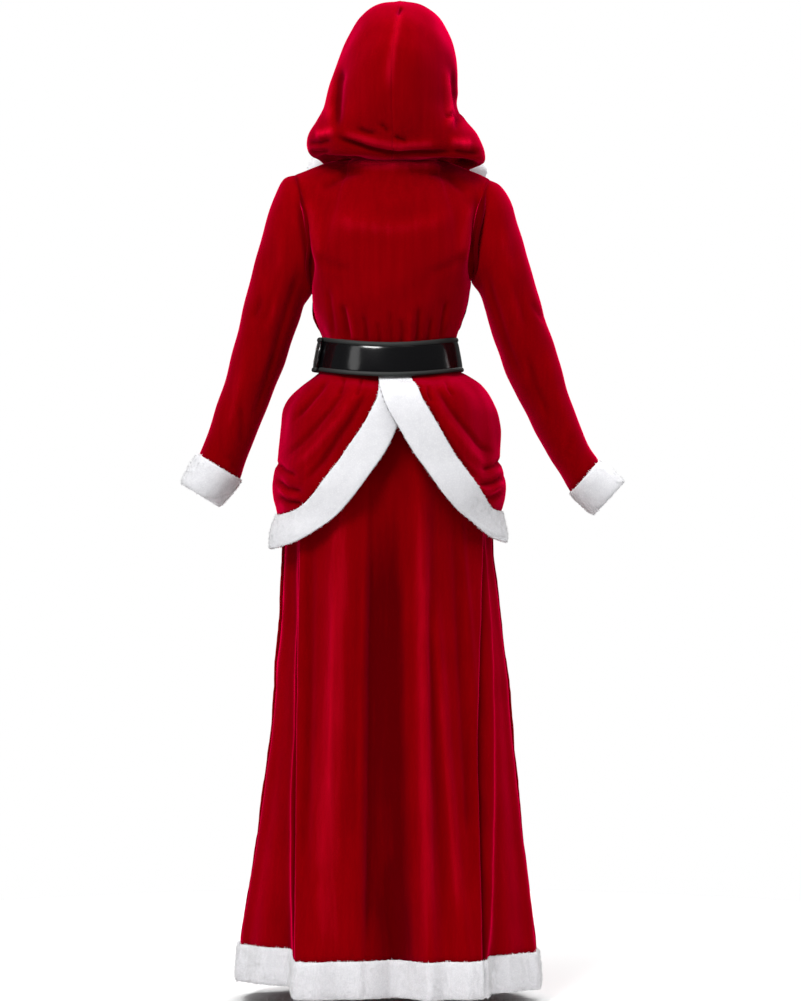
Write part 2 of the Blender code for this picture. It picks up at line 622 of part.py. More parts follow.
def peplum_points(angles, z, lap=0.0):
    """Points on the puffed surface, lifted along its normal by lap where one half lies over the other."""
    angles = np.asarray(angles, float)
    z = np.clip(np.asarray(z, float), PEPLUM_PROFILE["z"][-1] + NORMAL_STEP, PEPLUM_PROFILE["z"][0])
    below = puffed_points(angles, z - NORMAL_STEP)
    here = puffed_points(angles, z)
    beside = puffed_points(angles + 1, z)
    outward = unit(np.cross(here - below, beside - here))
    share = smooth(PEPLUM_PROFILE["z"], PEPLUM_PROFILE["plush_share"], z)
    from_back = np.abs((angles + 180) % 360 - 180)
    from_middle = np.minimum(from_back, 180 - from_back)
    near = np.clip((LAP_FADE_END - from_middle) / (LAP_FADE_END - LAP_FADE_START), 0, 1)
    return here + outward * (lap * (share + LAP_EXTRA) * near * near * (3 - 2 * near))[..., None]


def peplum_edge(table, kind, way, at):
    """Angle and height of the seam or the free edge at a share from the centre back to the centre front."""
    stations = np.linspace(0, 0.5, len(table["seam_angle"]))
    folded = np.where(at > 0.5, 1 - at, at)
    angle = smooth(stations, table[kind + "_angle"], folded)
    angle = np.where(at > 0.5, way * 180 - angle, angle)
    return angle, smooth(stations, table[kind + "_z"], folded)


def peplum_panel(table, way, lap):
    """Rows of a half from the waist down to its plush, whose side columns also run along the plush."""
    share = np.linspace(0, 1, PEPLUM_ROUND_STEPS + 1)
    corner = PEPLUM_CORNER_SHARE
    low_angle, low_z = peplum_edge(table, "seam", way, corner + (1 - 2 * corner) * share)
    first_z = np.array(PEPLUM_FIRST_ROWS)[:, None] + 0 * share
    down = np.linspace(0, 1, PEPLUM_DOWN_STEPS + 1)[1:, None] ** PEPLUM_DOWN_POWER
    heights = np.concatenate([first_z, first_z[-1] + (low_z - first_z[-1]) * down])
    near_angle = smooth(table["seam_z"][:4], table["seam_angle"][:4], heights[:, 0])
    far_angle = way * 180 - near_angle
    top_angle = near_angle[0] + (far_angle[0] - near_angle[0]) * share
    v = np.linspace(0, 1, len(heights))[:, None]
    sides = near_angle[:, None] * (1 - share) + far_angle[:, None] * share
    corners = sides[0] * (1 - v) + sides[-1] * v
    angles = top_angle * (1 - v) + low_angle * v + sides - corners
    return peplum_points(angles, heights, lap)


for side, table, way, lap in (
    ("left", PEPLUM_EDGE_LEFT, 1, 0.0),
    ("right", PEPLUM_EDGE_RIGHT, -1, PEPLUM_LAP),
):
    add_cloth("peplum_" + side, peplum_panel(table, way, lap), flip=way > 0)
    at = np.linspace(0, 1, PEPLUM_TRIM_STEPS + 1)
    seam_angle, seam_z = peplum_edge(table, "seam", way, at)
    free_angle, free_z = peplum_edge(table, "free", way, at)

    def on_surface(across):
        angles = seam_angle + (free_angle - seam_angle) * across
        return peplum_points(angles, seam_z + (free_z - seam_z) * across, lap) + beside

    beside = 0.0
    beside = unit(on_surface(0.2) - on_surface(0.0)) * TRIM_GAP
    ahead = unit(np.gradient(on_surface(0.5), axis=0))
    outward = unit(np.cross(ahead, on_surface(0.6) - on_surface(0.4))) * -way
    share = smooth(PEPLUM_PROFILE["z"], PEPLUM_PROFILE["plush_share"], (seam_z + free_z) / 2)
    add_band("peplum_trim_" + side, plush_section(on_surface, outward, share, share), plush)

# Belt strap and its bindings, one length from the buckle round to the free end lapped over the wearer's left


def belt_points(run, down, out):
    """Points on the belt at an angle along its run, a share of the height and a distance from its inner side."""
    lapped = np.clip((run - LAP_FROM) / (LAP_TO - LAP_FROM), 0, 1)
    out = out + LAP_RISE * lapped * lapped * (3 - 2 * lapped)
    sizes = [top + (bottom - top) * down for top, bottom in zip(BELT_TOP_HALF, BELT_BOTTOM_HALF)]
    x, y, outward = ring(run, *sizes, BELT_CENTRE_X)
    z = BELT_TOP_Z - BELT_HEIGHT * down - BELT_LOWERED * lowering(run)
    return np.stack([x + outward[:, 0] * out, y + outward[:, 1] * out, z], -1)


run = np.linspace(BELT_START, BELT_END, round((BELT_START - BELT_END) / BELT_DEGREES_PER_STEP) + 1)
binding_share = BINDING_HEIGHT / BELT_HEIGHT
strap_top = binding_share + SEAM_GAP / BELT_HEIGHT
corners = (
    (strap_top, 0),
    (strap_top, STRAP_THICKNESS),
    (1 - strap_top, STRAP_THICKNESS),
    (1 - strap_top, 0),
)
sections = np.stack([belt_points(run, down, out) for down, out in corners], 1)
add_band("belt_strap", sections, strap_pvc, smooth_shading=False)
bead = ((0, 0.35), (0, 0.8), (0.3, 1), (0.7, 1), (1, 0.8), (1, 0.0), (0.2, 0.0))
for name, first, last in (
    ("belt_binding_top", 0, binding_share),
    ("belt_binding_bottom", 1 - binding_share, 1),
):
    sections = [belt_points(run, first + (last - first) * down, BINDING_THICKNESS * out) for down, out in bead]
    add_band(name, np.stack(sections, 1), binding_tape)

# Two holes in the lapped end for the prongs
holes = []
for height in PRONG_HEIGHTS:
    place = belt_points(np.array([HOLE_ANGLE]), height, LAP_RISE)[0] * MM
    bpy.ops.mesh.primitive_cylinder_add(
        vertices=12, radius=HOLE_RADIUS * MM, depth=HOLE_CUTTER_LENGTH * MM, location=place, rotation=(np.pi / 2, 0, 0)
    )
    hole = bpy.context.object
    hole.name = f"hole_cutter_{len(holes) + 1}"
    hole.display_type = "WIRE"
    hole.hide_render = True
    for owner in list(hole.users_collection):
        owner.objects.unlink(hole)
    cutters.objects.link(hole)
    holes.append(hole)
    cut = dress.objects["belt_strap"].modifiers.new("Prong hole", "BOOLEAN")
    cut.operation = "DIFFERENCE"
    cut.solver = "EXACT"
    cut.object = hole

# Buckle frame, with the heel bar on the wearer's left


def rounded_corners(low_angle, high_angle, top, bottom):
    """Angle and height of three points at each corner of a rectangle with rounded corners."""
    turn_angle = BUCKLE_CORNER * BELT_HEIGHT / 2
    points = []
    for angle, height, way_angle, way_height in (
        (low_angle, top, 1, 1),
        (high_angle, top, -1, 1),
        (high_angle, bottom, -1, -1),
        (low_angle, bottom, 1, -1),
    ):
        beside = (angle + way_angle * turn_angle, height)
        between = (angle + way_angle * turn_angle * 0.29, height + way_height * BUCKLE_CORNER * 0.29)
        below = (angle, height + way_height * BUCKLE_CORNER)
        forward = (below, between, beside) if way_angle == way_height else (beside, between, below)
        points.extend(forward)
    return np.array(points)


def buckle_loop(edge, front):
    angle, height = rounded_corners(*edge).T
    low, high = BUCKLE_OUTER[:2]
    out = BUCKLE_OUT[0] + (BUCKLE_OUT[1] - BUCKLE_OUT[0]) * (angle - low) / (high - low)
    out = out + BUCKLE_THICKNESS * front
    return np.stack([belt_points(angle[i : i + 1], height[i], out[i : i + 1])[0] for i in range(len(angle))])


edges = ((BUCKLE_OUTER, 0), (BUCKLE_OUTER, 1), (BUCKLE_INNER, 1), (BUCKLE_INNER, 0))
loops = [buckle_loop(edge, front) for edge, front in edges]
add_band("buckle_frame", np.stack(loops, 1), nickel, around=True, smooth_shading=False)

# Prongs, from the heel bar through the lapped end to the front bar
for name, height in zip(("buckle_prong_upper", "buckle_prong_lower"), PRONG_HEIGHTS):
    path = belt_points(np.array(PRONG_PATH["angle"]), height, np.array(PRONG_PATH["out"]))
    ahead = unit(np.gradient(path, axis=0))
    up = np.array((0.0, 0.0, PRONG_SIZE / 2))
    aside = unit(np.cross(ahead, up)) * PRONG_SIZE / 2
    corners = (path + up + aside, path + up - aside, path - up - aside, path - up + aside)
    add_band(name, np.stack(corners, 1), nickel, smooth_shading=False)
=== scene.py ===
"""The look of a hooded christmas costume dress in red stretch velour and white plush, put on its solids.

The front faces -Y and the photograph's camera stands behind the dress, at +Y. Tables are in millimetres
and degrees. Angles round the dress start at its centre back and grow towards +X, its own left side.
"""

import bmesh
import bpy
import numpy as np
from mathutils import Matrix


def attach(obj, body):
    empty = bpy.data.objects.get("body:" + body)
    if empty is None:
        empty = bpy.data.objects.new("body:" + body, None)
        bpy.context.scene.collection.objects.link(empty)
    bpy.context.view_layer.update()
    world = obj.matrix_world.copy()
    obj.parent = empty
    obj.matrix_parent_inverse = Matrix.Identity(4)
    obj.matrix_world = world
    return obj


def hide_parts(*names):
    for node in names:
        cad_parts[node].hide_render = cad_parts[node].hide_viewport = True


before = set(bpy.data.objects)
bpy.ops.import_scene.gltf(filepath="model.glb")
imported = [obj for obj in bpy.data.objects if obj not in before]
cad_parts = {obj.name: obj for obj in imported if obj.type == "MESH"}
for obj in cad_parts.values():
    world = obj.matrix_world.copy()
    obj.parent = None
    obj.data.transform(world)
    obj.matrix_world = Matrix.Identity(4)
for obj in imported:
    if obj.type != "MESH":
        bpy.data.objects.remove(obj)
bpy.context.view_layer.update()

# Camera
# The photograph shows the dress from behind, nearly level and with little perspective, so the camera stands
# six metres behind it at hip height and looks level along -Y with a long lens.
CAMERA_PLACE = (-0.0166, 6.0, -0.582)
CAMERA_LENS = 123.3

camera = bpy.data.objects.new("camera", bpy.data.cameras.new("camera"))
camera.location = CAMERA_PLACE
camera.rotation_euler = (np.pi / 2, 0, np.pi)
camera.data.lens = CAMERA_LENS
camera.data.sensor_width = 36
bpy.context.scene.collection.objects.link(camera)
bpy.context.scene.camera = camera
bpy.context.scene.view_settings.view_transform = "Standard"

# Skirt
# Two long flared panels of red stretch velour, joined at the sides and hanging from the waist in soft
# uneven folds. The knit pile has a nap: it looks deep red face on and turns crimson where it is seen along
# the pile.
MM = 0.001
VELOUR_THICKNESS = 1.3
SEAM_TURN = 0.8
ALLOWANCE_DEPTHS = (1.2, 6.0)
# Crease height in millimetres that gives the full painted shade or highlight
PAINTED_LIGHT_HEIGHT = 10.0
SKIRT_RINGS = {
    "z": (
        -327.6, -346, -362, -395, -450, -520, -600, -682, -780, -878, -976, -1074, -1172, -1270, -1344, -1367
    ),
    "half_width": (
        111.5, 114, 119, 138, 158, 171, 180, 187.2, 194.6, 203.6, 211.2, 222.6, 234, 247.4, 257.4, 260
    ),
    "centre_x": (2, 2, 2, 3, 4, 5, 5, 5.2, 2, 0.8, -0.2, 0.7, 1.5, 2.6, 3.8, 4.4),
    "back": (90, 91, 92.5, 105, 118, 128, 133, 137, 142, 147, 152, 157, 162, 167, 170, 171),
    "front": (90, 91, 92, 98, 106, 114, 121, 127, 133, 139, 145, 150, 154, 158, 161, 162),
}
SKIRT_FOLDS = {
    "thigh": (56.5, 27, 7, -18, -23, -43, -64, 73, -80, 118, 146, 171, -160, -131, -108),
    "knee": (50, 29, 9.5, -15, -26, -42, -51, 75, -76, 120, 147, 173, -158, -133, -107),
    "hem": (37, 27, -1, -15, -29, -43, -37.5, 77, -73, 122, 149, 170, -160, -135, -106),
    "width_low": (13, 6, 7, 5, 3, 3, 4, 5, 6, 8, 7, 6, 6, 5, 5),
    "width_high": (4, 7, 8, 4, 6, 7, 13, 6, 5, 5, 7, 7, 6, 8, 5),
    "out_thigh": (8, 5, -6, 6, 3, 5, 8, 4, 3, 4, 5, -5, 5, 6, -3),
    "out_hem": (28, 12, -20, 14, 8, 2, 28, 9, 9, 18, 15, -15, 14, 20, -8),
}
FOLD_LEVELS = (-420, -560, -680, -1030, -1367)
FOLD_THIGH_SHARE = (0, 0.5, 1, 0.5, 0)
FOLD_HEM_SHARE = (0, 0, 0, 0.42, 1)
FOLD_PATH_LEVELS = (-1367, -1030, -680)
SKIRT_TOP = -327.6
SKIRT_BOTTOM = -1367.2
SKIRT_ROWS = 96
SKIRT_COLUMNS = {"skirt_back": (44, 104, 44), "skirt_front": (130,)}

# Creases laid on the cloth: height, reach on the path's left as seen from the front, reach on its right, path
SKIRT_BACK_CREASES = (
    (7.0, 18.0, 30.0, ((84, -440), (100, -896), (110, -1054), (124, -1520))),
    (4.2, 4.5, 5.0, ((96, -700), (104, -960), (108, -1160))),
    (-9.0, 8.0, 34.0, ((32, -470), (37, -896), (40, -1150), (44, -1520))),
    (-3.0, 3.0, 5.0, ((34, -540), (38, -896), (41, -1150), (46, -1420))),
    (-5.0, 24.0, 28.0, ((16, -620), (10, -960), (4, -1228), (-8, -1560))),
    (-4.0, 16.0, 22.0, ((0, -1190), (-4, -1330), (-8, -1620))),
    (-4.0, 4.5, 9.0, ((-66, -560), (-69, -980), (-80, -1420))),
    (-3.6, 9.0, 4.0, ((52, -600), (60, -960), (66, -1260))),
    (7.5, 8.0, 20.0, ((-48, -470), (-54, -1001), (-66, -1520))),
    (-5.0, 9.0, 10.0, ((-72, -560), (-76, -960), (-98, -1400))),
    (6.0, 6.0, 10.0, ((-68, -680), (-93, -1027), (-126, -1420))),
    (-5.5, 8.0, 12.0, ((-108, -560), (-124, -900), (-146, -1300))),
    (-5.0, 12.0, 9.0, ((140, -560), (143, -931), (152, -1300))),
    (-3.4, 8.0, 8.0, ((66, -560), (72, -900), (80, -1250))),
    (-8.0, 22.0, 14.0, ((-6, -520), (-12, -860), (-22, -1260), (-34, -1540))),
    (2.0, 16.0, 22.0, ((190, -700), (212, -1106), (234, -1500))),
    (2.5, 18.0, 14.0, ((-172, -700), (-190, -1106), (-208, -1500))),
)
SKIRT_FRONT_CREASES = (
    (-9.0, 12.0, 20.0, ((155, -540), (166, -931), (180, -1500))),
    (8.0, 18.0, 22.0, ((104, -540), (121, -1036), (134, -1500))),
    (-11.0, 20.0, 18.0, ((50, -540), (68, -1036), (74, -1500))),
    (8.0, 20.0, 16.0, ((8, -540), (19, -1036), (2, -1500))),
    (-12.0, 18.0, 22.0, ((-30, -540), (-40, -1036), (-22, -1500))),
    (9.0, 16.0, 20.0, ((-78, -540), (-96, -1071), (-110, -1500))),
    (-10.0, 22.0, 12.0, ((-145, -540), (-163, -1036), (-180, -1500))),
    (6.0, 12.0, 14.0, ((-191, -800), (-205, -1106), (-222, -1500))),
    (-4.0, 8.0, 8.0, ((-60, -600), (-66, -860), (-70, -1180))),
    (-4.0, 7.0, 8.0, ((84, -600), (90, -860), (96, -1110))),
)
# Laps are folds whose edge overhangs the cloth beside it: depth, reach, the side tucked under, edge's path
SKIRT_LAPS = (
    (10.0, 60.0, -1, ((-163, -620), (-156, -843), (-152, -1001), (-161, -1386))),
    (17.0, 75.0, 1, ((161, -620), (167, -1027), (170, -1386))),
)
LAP_SHARE = {"z": (-1367, -1100, -660, -560), "share": (1, 0.85, 0.45, 0)}
HEM_LIFT = {
    "angle": (-180, -90, -44, -41, -40, 0, 39, 41, 44, 90, 130, 180),
    "lift": (0, 0, 4, 5, 1, 0, 1, 15, 16, 13, 5, 0),
}
HEM_LIFT_FROM = -820
HEM_LIFT_POWER = 1.5

# How a lap slides sideways, how its edge rolls over, and the shade it throws
LAP_SEARCH = np.linspace(-75, 75, 301)
LAP_SLIDE = 9.0
LAP_SLIDE_REACH = 25.0
LAP_ROLL = 1.6
LAP_ROLL_REACH = 3.5
LAP_ROLL_TURN = 9.0
LAP_SHADE = 0.9
LAP_SHADE_REACH = 10.0
SIDE_SEAM_TURN = 0.06
SKIRT_UNEVEN = 0.5
SKIRT_SEAM_ROLL = 0.9
SKIRT_PAINTED_LIGHT = 0.7
CREASE_END_SHARE = 0.25

# How far a seam rolls, how dark and wide its painted shade is, how its stitches pucker the cloth in uneven
# waves
SEAM_ROLL_REACH = 2.6
SEAM_PAINTED_SHADE = 0.6
SEAM_PAINTED_SHADE_REACH = 4.0
PUCKER_REACH = 11.0
PUCKER_RATE = 0.62
PUCKER_DRIFT = 1.7
PUCKER_DRIFT_RATE = 0.071
PUCKER_SWELL_RATE = 0.23
PUCKER_SWELL_START = 0.8

# How many random swells the cloth has, how long they are, and what brings their sum to one height
SWELLS = 14
SWELL_LENGTHS = (40, 100)
SWELL_DOWN = 0.45
SWELL_SHIFT = 6.3
SWELL_SUM = 2.6

SIDES_AND_BOTTOM = ("left", "right", "bottom")
RING_SIZES = ("half_width", "back", "front", "centre_x")


def ease(t):
    return t * t * (3 - 2 * t)


def smooth(knots, values, at):
    """A smooth curve through the table values, with the slope of its neighbours at each one."""
    knots = np.asarray(knots, float)
    values = np.asarray(values, float)
    if knots[0] > knots[-1]:
        knots = knots[::-1]
        values = values[::-1]
    slopes = np.gradient(values, knots)
    at = np.clip(np.asarray(at, float), knots[0], knots[-1])
    low = np.clip(np.searchsorted(knots, at) - 1, 0, len(knots) - 2)
    span = knots[low + 1] - knots[low]
    t = (at - knots[low]) / span
    start = (1 + 2 * t) * (1 - t) ** 2 * values[low] + t * (1 - t) ** 2 * span * slopes[low]
    end = ease(t) * values[low + 1] + t * t * (t - 1) * span * slopes[low + 1]
    return start + end


def unit(vectors):
    return vectors / np.linalg.norm(vectors, axis=-1, keepdims=True)


def ring(angles, half_width, back, front, centre_x):
    """Points x, y of an egg shaped ring and its outward direction there."""
    turn = np.radians(angles)
    depth = np.where(np.cos(turn) > 0, back, front)
    x = centre_x + half_width * np.sin(turn)
    y = depth * np.cos(turn)
    out = unit(np.stack([np.sin(turn) * depth, np.cos(turn) * half_width], -1))
    return x, y, out


def fold_height(angles, z):
    """How far the folds of the skirt stand out at each angle of the ring at z."""
    height = np.zeros(np.broadcast(angles, z).shape)
    thigh_share = smooth(FOLD_LEVELS, FOLD_THIGH_SHARE, z)
    hem_share = smooth(FOLD_LEVELS, FOLD_HEM_SHARE, z)
    for thigh, knee, hem, low, high, out_thigh, out_hem in zip(*SKIRT_FOLDS.values()):
        middle = smooth(FOLD_PATH_LEVELS, (hem, knee, thigh), z)
        away = (angles - middle + 180) % 360 - 180
        width = np.where(away < 0, low, high)
        height = height + (out_thigh * thigh_share + out_hem * hem_share) * np.exp(-((away / width) ** 2))
    return height


def skirt_points(angles, z, out=0.0):
    """Points of the skirt's outer surface, moved outwards by out."""
    angles = np.asarray(angles, float)
    z = np.broadcast_to(np.asarray(z, float), angles.shape)
    sizes = [smooth(SKIRT_RINGS["z"], SKIRT_RINGS[name], z) for name in RING_SIZES]
    x, y, outward = ring(angles, *sizes)
    shift = fold_height(angles, z) + out
    return np.stack([x + outward[..., 0] * shift, y + outward[..., 1] * shift, z], -1)


def as_seen(points):
    """The x and z at which the camera sees each point on the plane y = 0, where creases are placed."""
    eye = np.array(CAMERA_PLACE) / MM
    nearness = eye[1] / (eye[1] - points[..., 1])
    return eye[0] + (points[..., 0] - eye[0]) * nearness, eye[2] + (points[..., 2] - eye[2]) * nearness


def crease_height(points, creases):
    """How far listed creases lift a surface. Each runs along its path and fades at its ends."""
    x, z = as_seen(points)
    total = np.zeros(x.shape)
    for height, reach_plus, reach_minus, path in creases:
        path = np.array(path, float)
        nearest = np.full(x.shape, np.inf)
        side = np.zeros(x.shape)
        along = np.zeros(x.shape)
        for step, (start, end) in enumerate(zip(path[:-1], path[1:])):
            way = end - start
            t = np.clip(((x - start[0]) * way[0] + (z - start[1]) * way[1]) / (way @ way), 0, 1)
            away_x = x - start[0] - way[0] * t
            away_z = z - start[1] - way[1] * t
            away = np.hypot(away_x, away_z)
            closer = away < nearest
            nearest = np.where(closer, away, nearest)
            side = np.where(closer, way[0] * away_z - way[1] * away_x, side)
            along = np.where(closer, (step + t) / (len(path) - 1), along)
        reach = np.where(side > 0, reach_plus, reach_minus)
        fade = np.clip(np.minimum(along, 1 - along) / CREASE_END_SHARE, 0, 1)
        total += height * ease(fade) * np.exp(-((nearest / reach) ** 2))
    return total


def outward_of(points, around=False):
    """The outward direction at each point of a grid of rows and columns."""
    down = np.gradient(points, axis=0)
    across = (np.roll(points, -1, 1) - np.roll(points, 1, 1)) / 2 if around else np.gradient(points, axis=1)
    normal = unit(np.cross(down, across) + 1e-12)
    away = points - points.mean((0, 1))
    return normal * np.sign((normal * away).sum())


def edge_distance(points, edge):
    """Distance along the cloth from one edge of the grid: left, right, top or bottom column or row."""
    axis = 1 if edge in ("left", "right") else 0
    steps = np.linalg.norm(np.diff(points, axis=axis), axis=-1)
    pad = [(0, 0), (0, 0)]
    if edge in ("left", "top"):
        pad[axis] = (1, 0)
        return np.cumsum(np.pad(steps, pad), axis=axis)
    pad[axis] = (0, 1)
    return np.flip(np.cumsum(np.flip(np.pad(steps, pad), axis), axis=axis), axis)


def seam_height(points, edges, depth, pucker=0.5):
    """A sewn edge rolls inwards, and the cloth beside it puckers a little with the stitches."""
    total = np.zeros(points.shape[:2])
    for edge in edges:
        away = edge_distance(points, edge)
        along = edge_distance(points, "top" if edge in ("left", "right") else "left")
        waves = np.sin(along * PUCKER_RATE + PUCKER_DRIFT * np.sin(along * PUCKER_DRIFT_RATE))
        waves *= np.sin(along * PUCKER_SWELL_RATE + PUCKER_SWELL_START)
        rolled = depth * np.exp(-((away / SEAM_ROLL_REACH) ** 2))
        total += pucker * waves * np.exp(-away / PUCKER_REACH) - rolled
    return total


def unevenness(points, seed, height=0.9):
    """Soft random swells of the cloth, four to ten centimetres long and longer downwards than across."""
    random = np.random.default_rng(seed)
    total = np.zeros(points.shape[:2])
    for _ in range(SWELLS):
        length = random.uniform(*SWELL_LENGTHS)
        way = unit(random.normal(0, 1, 3) * (1, 1, SWELL_DOWN))
        turn = points @ way * 2 * np.pi / length + random.uniform(0, SWELL_SHIFT)
        total += np.sin(turn) * height / SWELL_SUM
    return total


def with_allowance(points, edges, around=False):
    """Adds the seam allowance: past a seam the cloth turns inwards, which closes the seam's gap."""
    for edge in edges:
        axis = 1 if edge in ("left", "right") else 0
        first, second = (0, 1) if edge in ("left", "top") else (-1, -2)
        border = points.take(first, axis)
        inward = -outward_of(points, around).take(first, axis)
        beyond = unit(border - points.take(second, axis)) * SEAM_TURN
        flap = [border + beyond + inward * depth for depth in ALLOWANCE_DEPTHS]
        sheets = [np.stack(flap[::-1], axis), points] if first == 0 else [points, np.stack(flap, axis)]
        points = np.concatenate(sheets, axis)
    return points


def grid_faces(rows, columns, closed_rows=False, closed_columns=False):
    """Faces with four corners between the points of a grid, whose rows or columns may close into a ring."""
    row, column = np.mgrid[: rows - (not closed_rows), : columns - (not closed_columns)].reshape(2, -1)
    after = (row + 1) % rows
    beside = (column + 1) % columns
    corners = ((row, column), (after, column), (after, beside), (row, beside))
    return np.stack([down * columns + across for down, across in corners], -1)


def mesh_object(name, points, faces, surface):
    mesh = bpy.data.meshes.new(name)
    mesh.from_pydata((np.asarray(points, float).reshape(-1, 3) * MM).tolist(), [], faces)
    mesh.materials.append(surface)
    mesh.polygons.foreach_set("use_smooth", [True] * len(mesh.polygons))
    made = bpy.data.objects.new(name, mesh)
    bpy.context.scene.collection.objects.link(made)
    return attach(made, "root")


def painted_fold_light(points, height, edges):
    """Painted light: -1 is painted shade in a trough or beside a seam, 1 a painted highlight on a ridge."""
    painted_light = height / PAINTED_LIGHT_HEIGHT
    for edge in edges:
        painted_light = painted_light - SEAM_PAINTED_SHADE * np.exp(-((edge_distance(points, edge) / SEAM_PAINTED_SHADE_REACH) ** 2))
    return np.clip(painted_light, -1, 1)


def add_velour(node, points, seams, painted_light, around=False):
    """A thin shell of velour on a grid of points, turned in at its seams, which stands for a CAD node."""
    for edge in seams:
        pad = (len(ALLOWANCE_DEPTHS), 0) if edge in ("left", "top") else (0, len(ALLOWANCE_DEPTHS))
        painted_light = np.pad(painted_light, ((0, 0), pad) if edge in ("left", "right") else (pad, (0, 0)), mode="edge")
    points = with_allowance(points, seams, around)
    faces = grid_faces(*points.shape[:2], closed_columns=around)
    first = points.reshape(-1, 3)[faces[:, [0, 1, 3]]]
    facing = np.cross(first[:, 1] - first[:, 0], first[:, 2] - first[:, 0])
    if (facing * outward_of(points, around).reshape(-1, 3)[faces[:, 0]]).sum() < 0:
        faces = faces[:, ::-1]
    made = mesh_object(node + "_velour", points, faces.tolist(), velour)
    # The painted shade and highlight go into an attribute that the velour's colour reads
    painted_shade_and_highlight = made.data.attributes.new("painted_shade_and_highlight", "FLOAT", "POINT")
    painted_shade_and_highlight.data.foreach_set("value", painted_light.ravel().astype(np.float32))
    wall = made.modifiers.new("Wall", "SOLIDIFY")
    wall.thickness = VELOUR_THICKNESS * MM
    wall.offset = -1
    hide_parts(node)


def linear(code):
    """A hex colour as the linear values that Blender's sockets take."""
    levels = [int(code[at : at + 2], 16) / 255 for at in (1, 3, 5)]
    return (*[level / 12.92 if level <= 0.04045 else ((level + 0.055) / 1.055) ** 2.4 for level in levels], 1)


def new_material(name, values):
    """A material and its shader, with the values that are the same all over it."""
    made = bpy.data.materials.new(name)
    made.use_nodes = True
    shader = made.node_tree.nodes["Principled BSDF"]
    for socket, value in values.items():
        shader.inputs[socket].default_value = value
    return made, shader


def add_node(surface, kind, settings=(), values=(), links=()):
    """Adds a node with its settings, its socket values and what feeds its sockets."""
    node = surface.node_tree.nodes.new(kind)
    for name, value in dict(settings).items():
        setattr(node, name, value)
    for name, value in dict(values).items():
        node.inputs[name].default_value = value
    for name, output in dict(links).items():
        surface.node_tree.links.new(output, node.inputs[name])
    return node


# Stretch velour: a polyester knit with a short cut pile. The pile scatters light back at grazing angles, so
# its sheen is strong and crimson, and brushed patches a few centimetres wide lie a shade lighter or darker.
# The grain of the pile is drawn about two millimetres wide, coarser than it is, so that it shows.
velour, shader = new_material(
    "stretch_velour",
    {
        "Roughness": 0.78,
        "Specular IOR Level": 0.0,
        "Sheen Weight": 1.0,
        "Sheen Roughness": 0.42,
        "Sheen Tint": linear("#FF004C"),
    },
)
place = add_node(velour, "ShaderNodeTexCoord").outputs["Object"]
patches = add_node(
    velour,
    "ShaderNodeTexNoise",
    values={"Scale": 1 / 0.09, "Detail": 1, "Roughness": 0.4, "Distortion": 0.3},
    links={"Vector": place},
)
stretch = add_node(velour, "ShaderNodeMapping", values={"Scale": (1, 1, 0.07)}, links={"Vector": place})
strokes = add_node(
    velour,
    "ShaderNodeTexNoise",
    values={"Scale": 1 / 0.011, "Detail": 3, "Roughness": 0.6},
    links={"Vector": stretch.outputs["Vector"]},
)
patched = add_node(
    velour,
    "ShaderNodeMath",
    settings={"operation": "MULTIPLY_ADD"},
    values={1: 0.14, 2: 0.16},
    links={0: patches.outputs["Fac"]},
)
nap = add_node(
    velour,
    "ShaderNodeMath",
    settings={"operation": "MULTIPLY_ADD"},
    values={1: 0.3},
    links={0: strokes.outputs["Fac"], 2: patched.outputs["Value"]},
)
# Painted light: the attribute paints shade into troughs, along seams and beside the skirt's laps, and a
# crimson highlight onto ridges
painted_shade_and_highlight = add_node(velour, "ShaderNodeAttribute", settings={"attribute_name": "painted_shade_and_highlight"})
nap_and_painted_light = add_node(
    velour,
    "ShaderNodeMath",
    settings={"operation": "MULTIPLY_ADD", "use_clamp": True},
    values={1: 0.5},
    links={0: painted_shade_and_highlight.outputs["Fac"], 2: nap.outputs["Value"]},
)
# The ramp's ends are painted light: #500001 the painted shade, #D2042C the painted crimson highlight
reds = add_node(velour, "ShaderNodeValToRGB", links={"Fac": nap_and_painted_light.outputs["Value"]})
reds.color_ramp.elements[0].position = 0.0
reds.color_ramp.elements[0].color = linear("#500001")
reds.color_ramp.elements[1].position = 0.92
reds.color_ramp.elements[1].color = linear("#D2042C")
for position, code in ((0.28, "#700002"), (0.48, "#800004"), (0.74, "#A00216")):
    reds.color_ramp.elements.new(position).color = linear(code)
pile_grain = add_node(
    velour,
    "ShaderNodeTexNoise",
    values={"Scale": 1 / 0.0022, "Detail": 2, "Roughness": 0.6},
    links={"Vector": place},
)
pile_bump = add_node(
    velour,
    "ShaderNodeBump",
    values={"Strength": 0.3, "Distance": 0.0006},
    links={"Height": pile_grain.outputs["Fac"]},
)
velour.node_tree.links.new(reds.outputs["Color"], shader.inputs["Base Color"])
velour.node_tree.links.new(pile_bump.outputs["Normal"], shader.inputs["Normal"])


def beside_lap(points, path):
    """How far past a lap's path, towards +X, the camera sees each point."""
    x, z = as_seen(points)
    places, heights = np.array(path, float).T
    return x - np.interp(-z, -heights, places)


def lap_angle(path, z):
    """The angle at which the skirt's surface crosses a lap's path."""
    return np.interp(0, beside_lap(skirt_points(LAP_SEARCH, z), path), LAP_SEARCH)


def under_lap(way):
    """Which columns of the skirt's back are tucked under the lap on that side."""
    right, middle, left = SKIRT_COLUMNS["skirt_back"]
    column = np.arange(right + middle + left)
    return column < right if way < 0 else column >= right + middle


def lap_share(z):
    return np.interp(z, LAP_SHARE["z"], LAP_SHARE["share"])


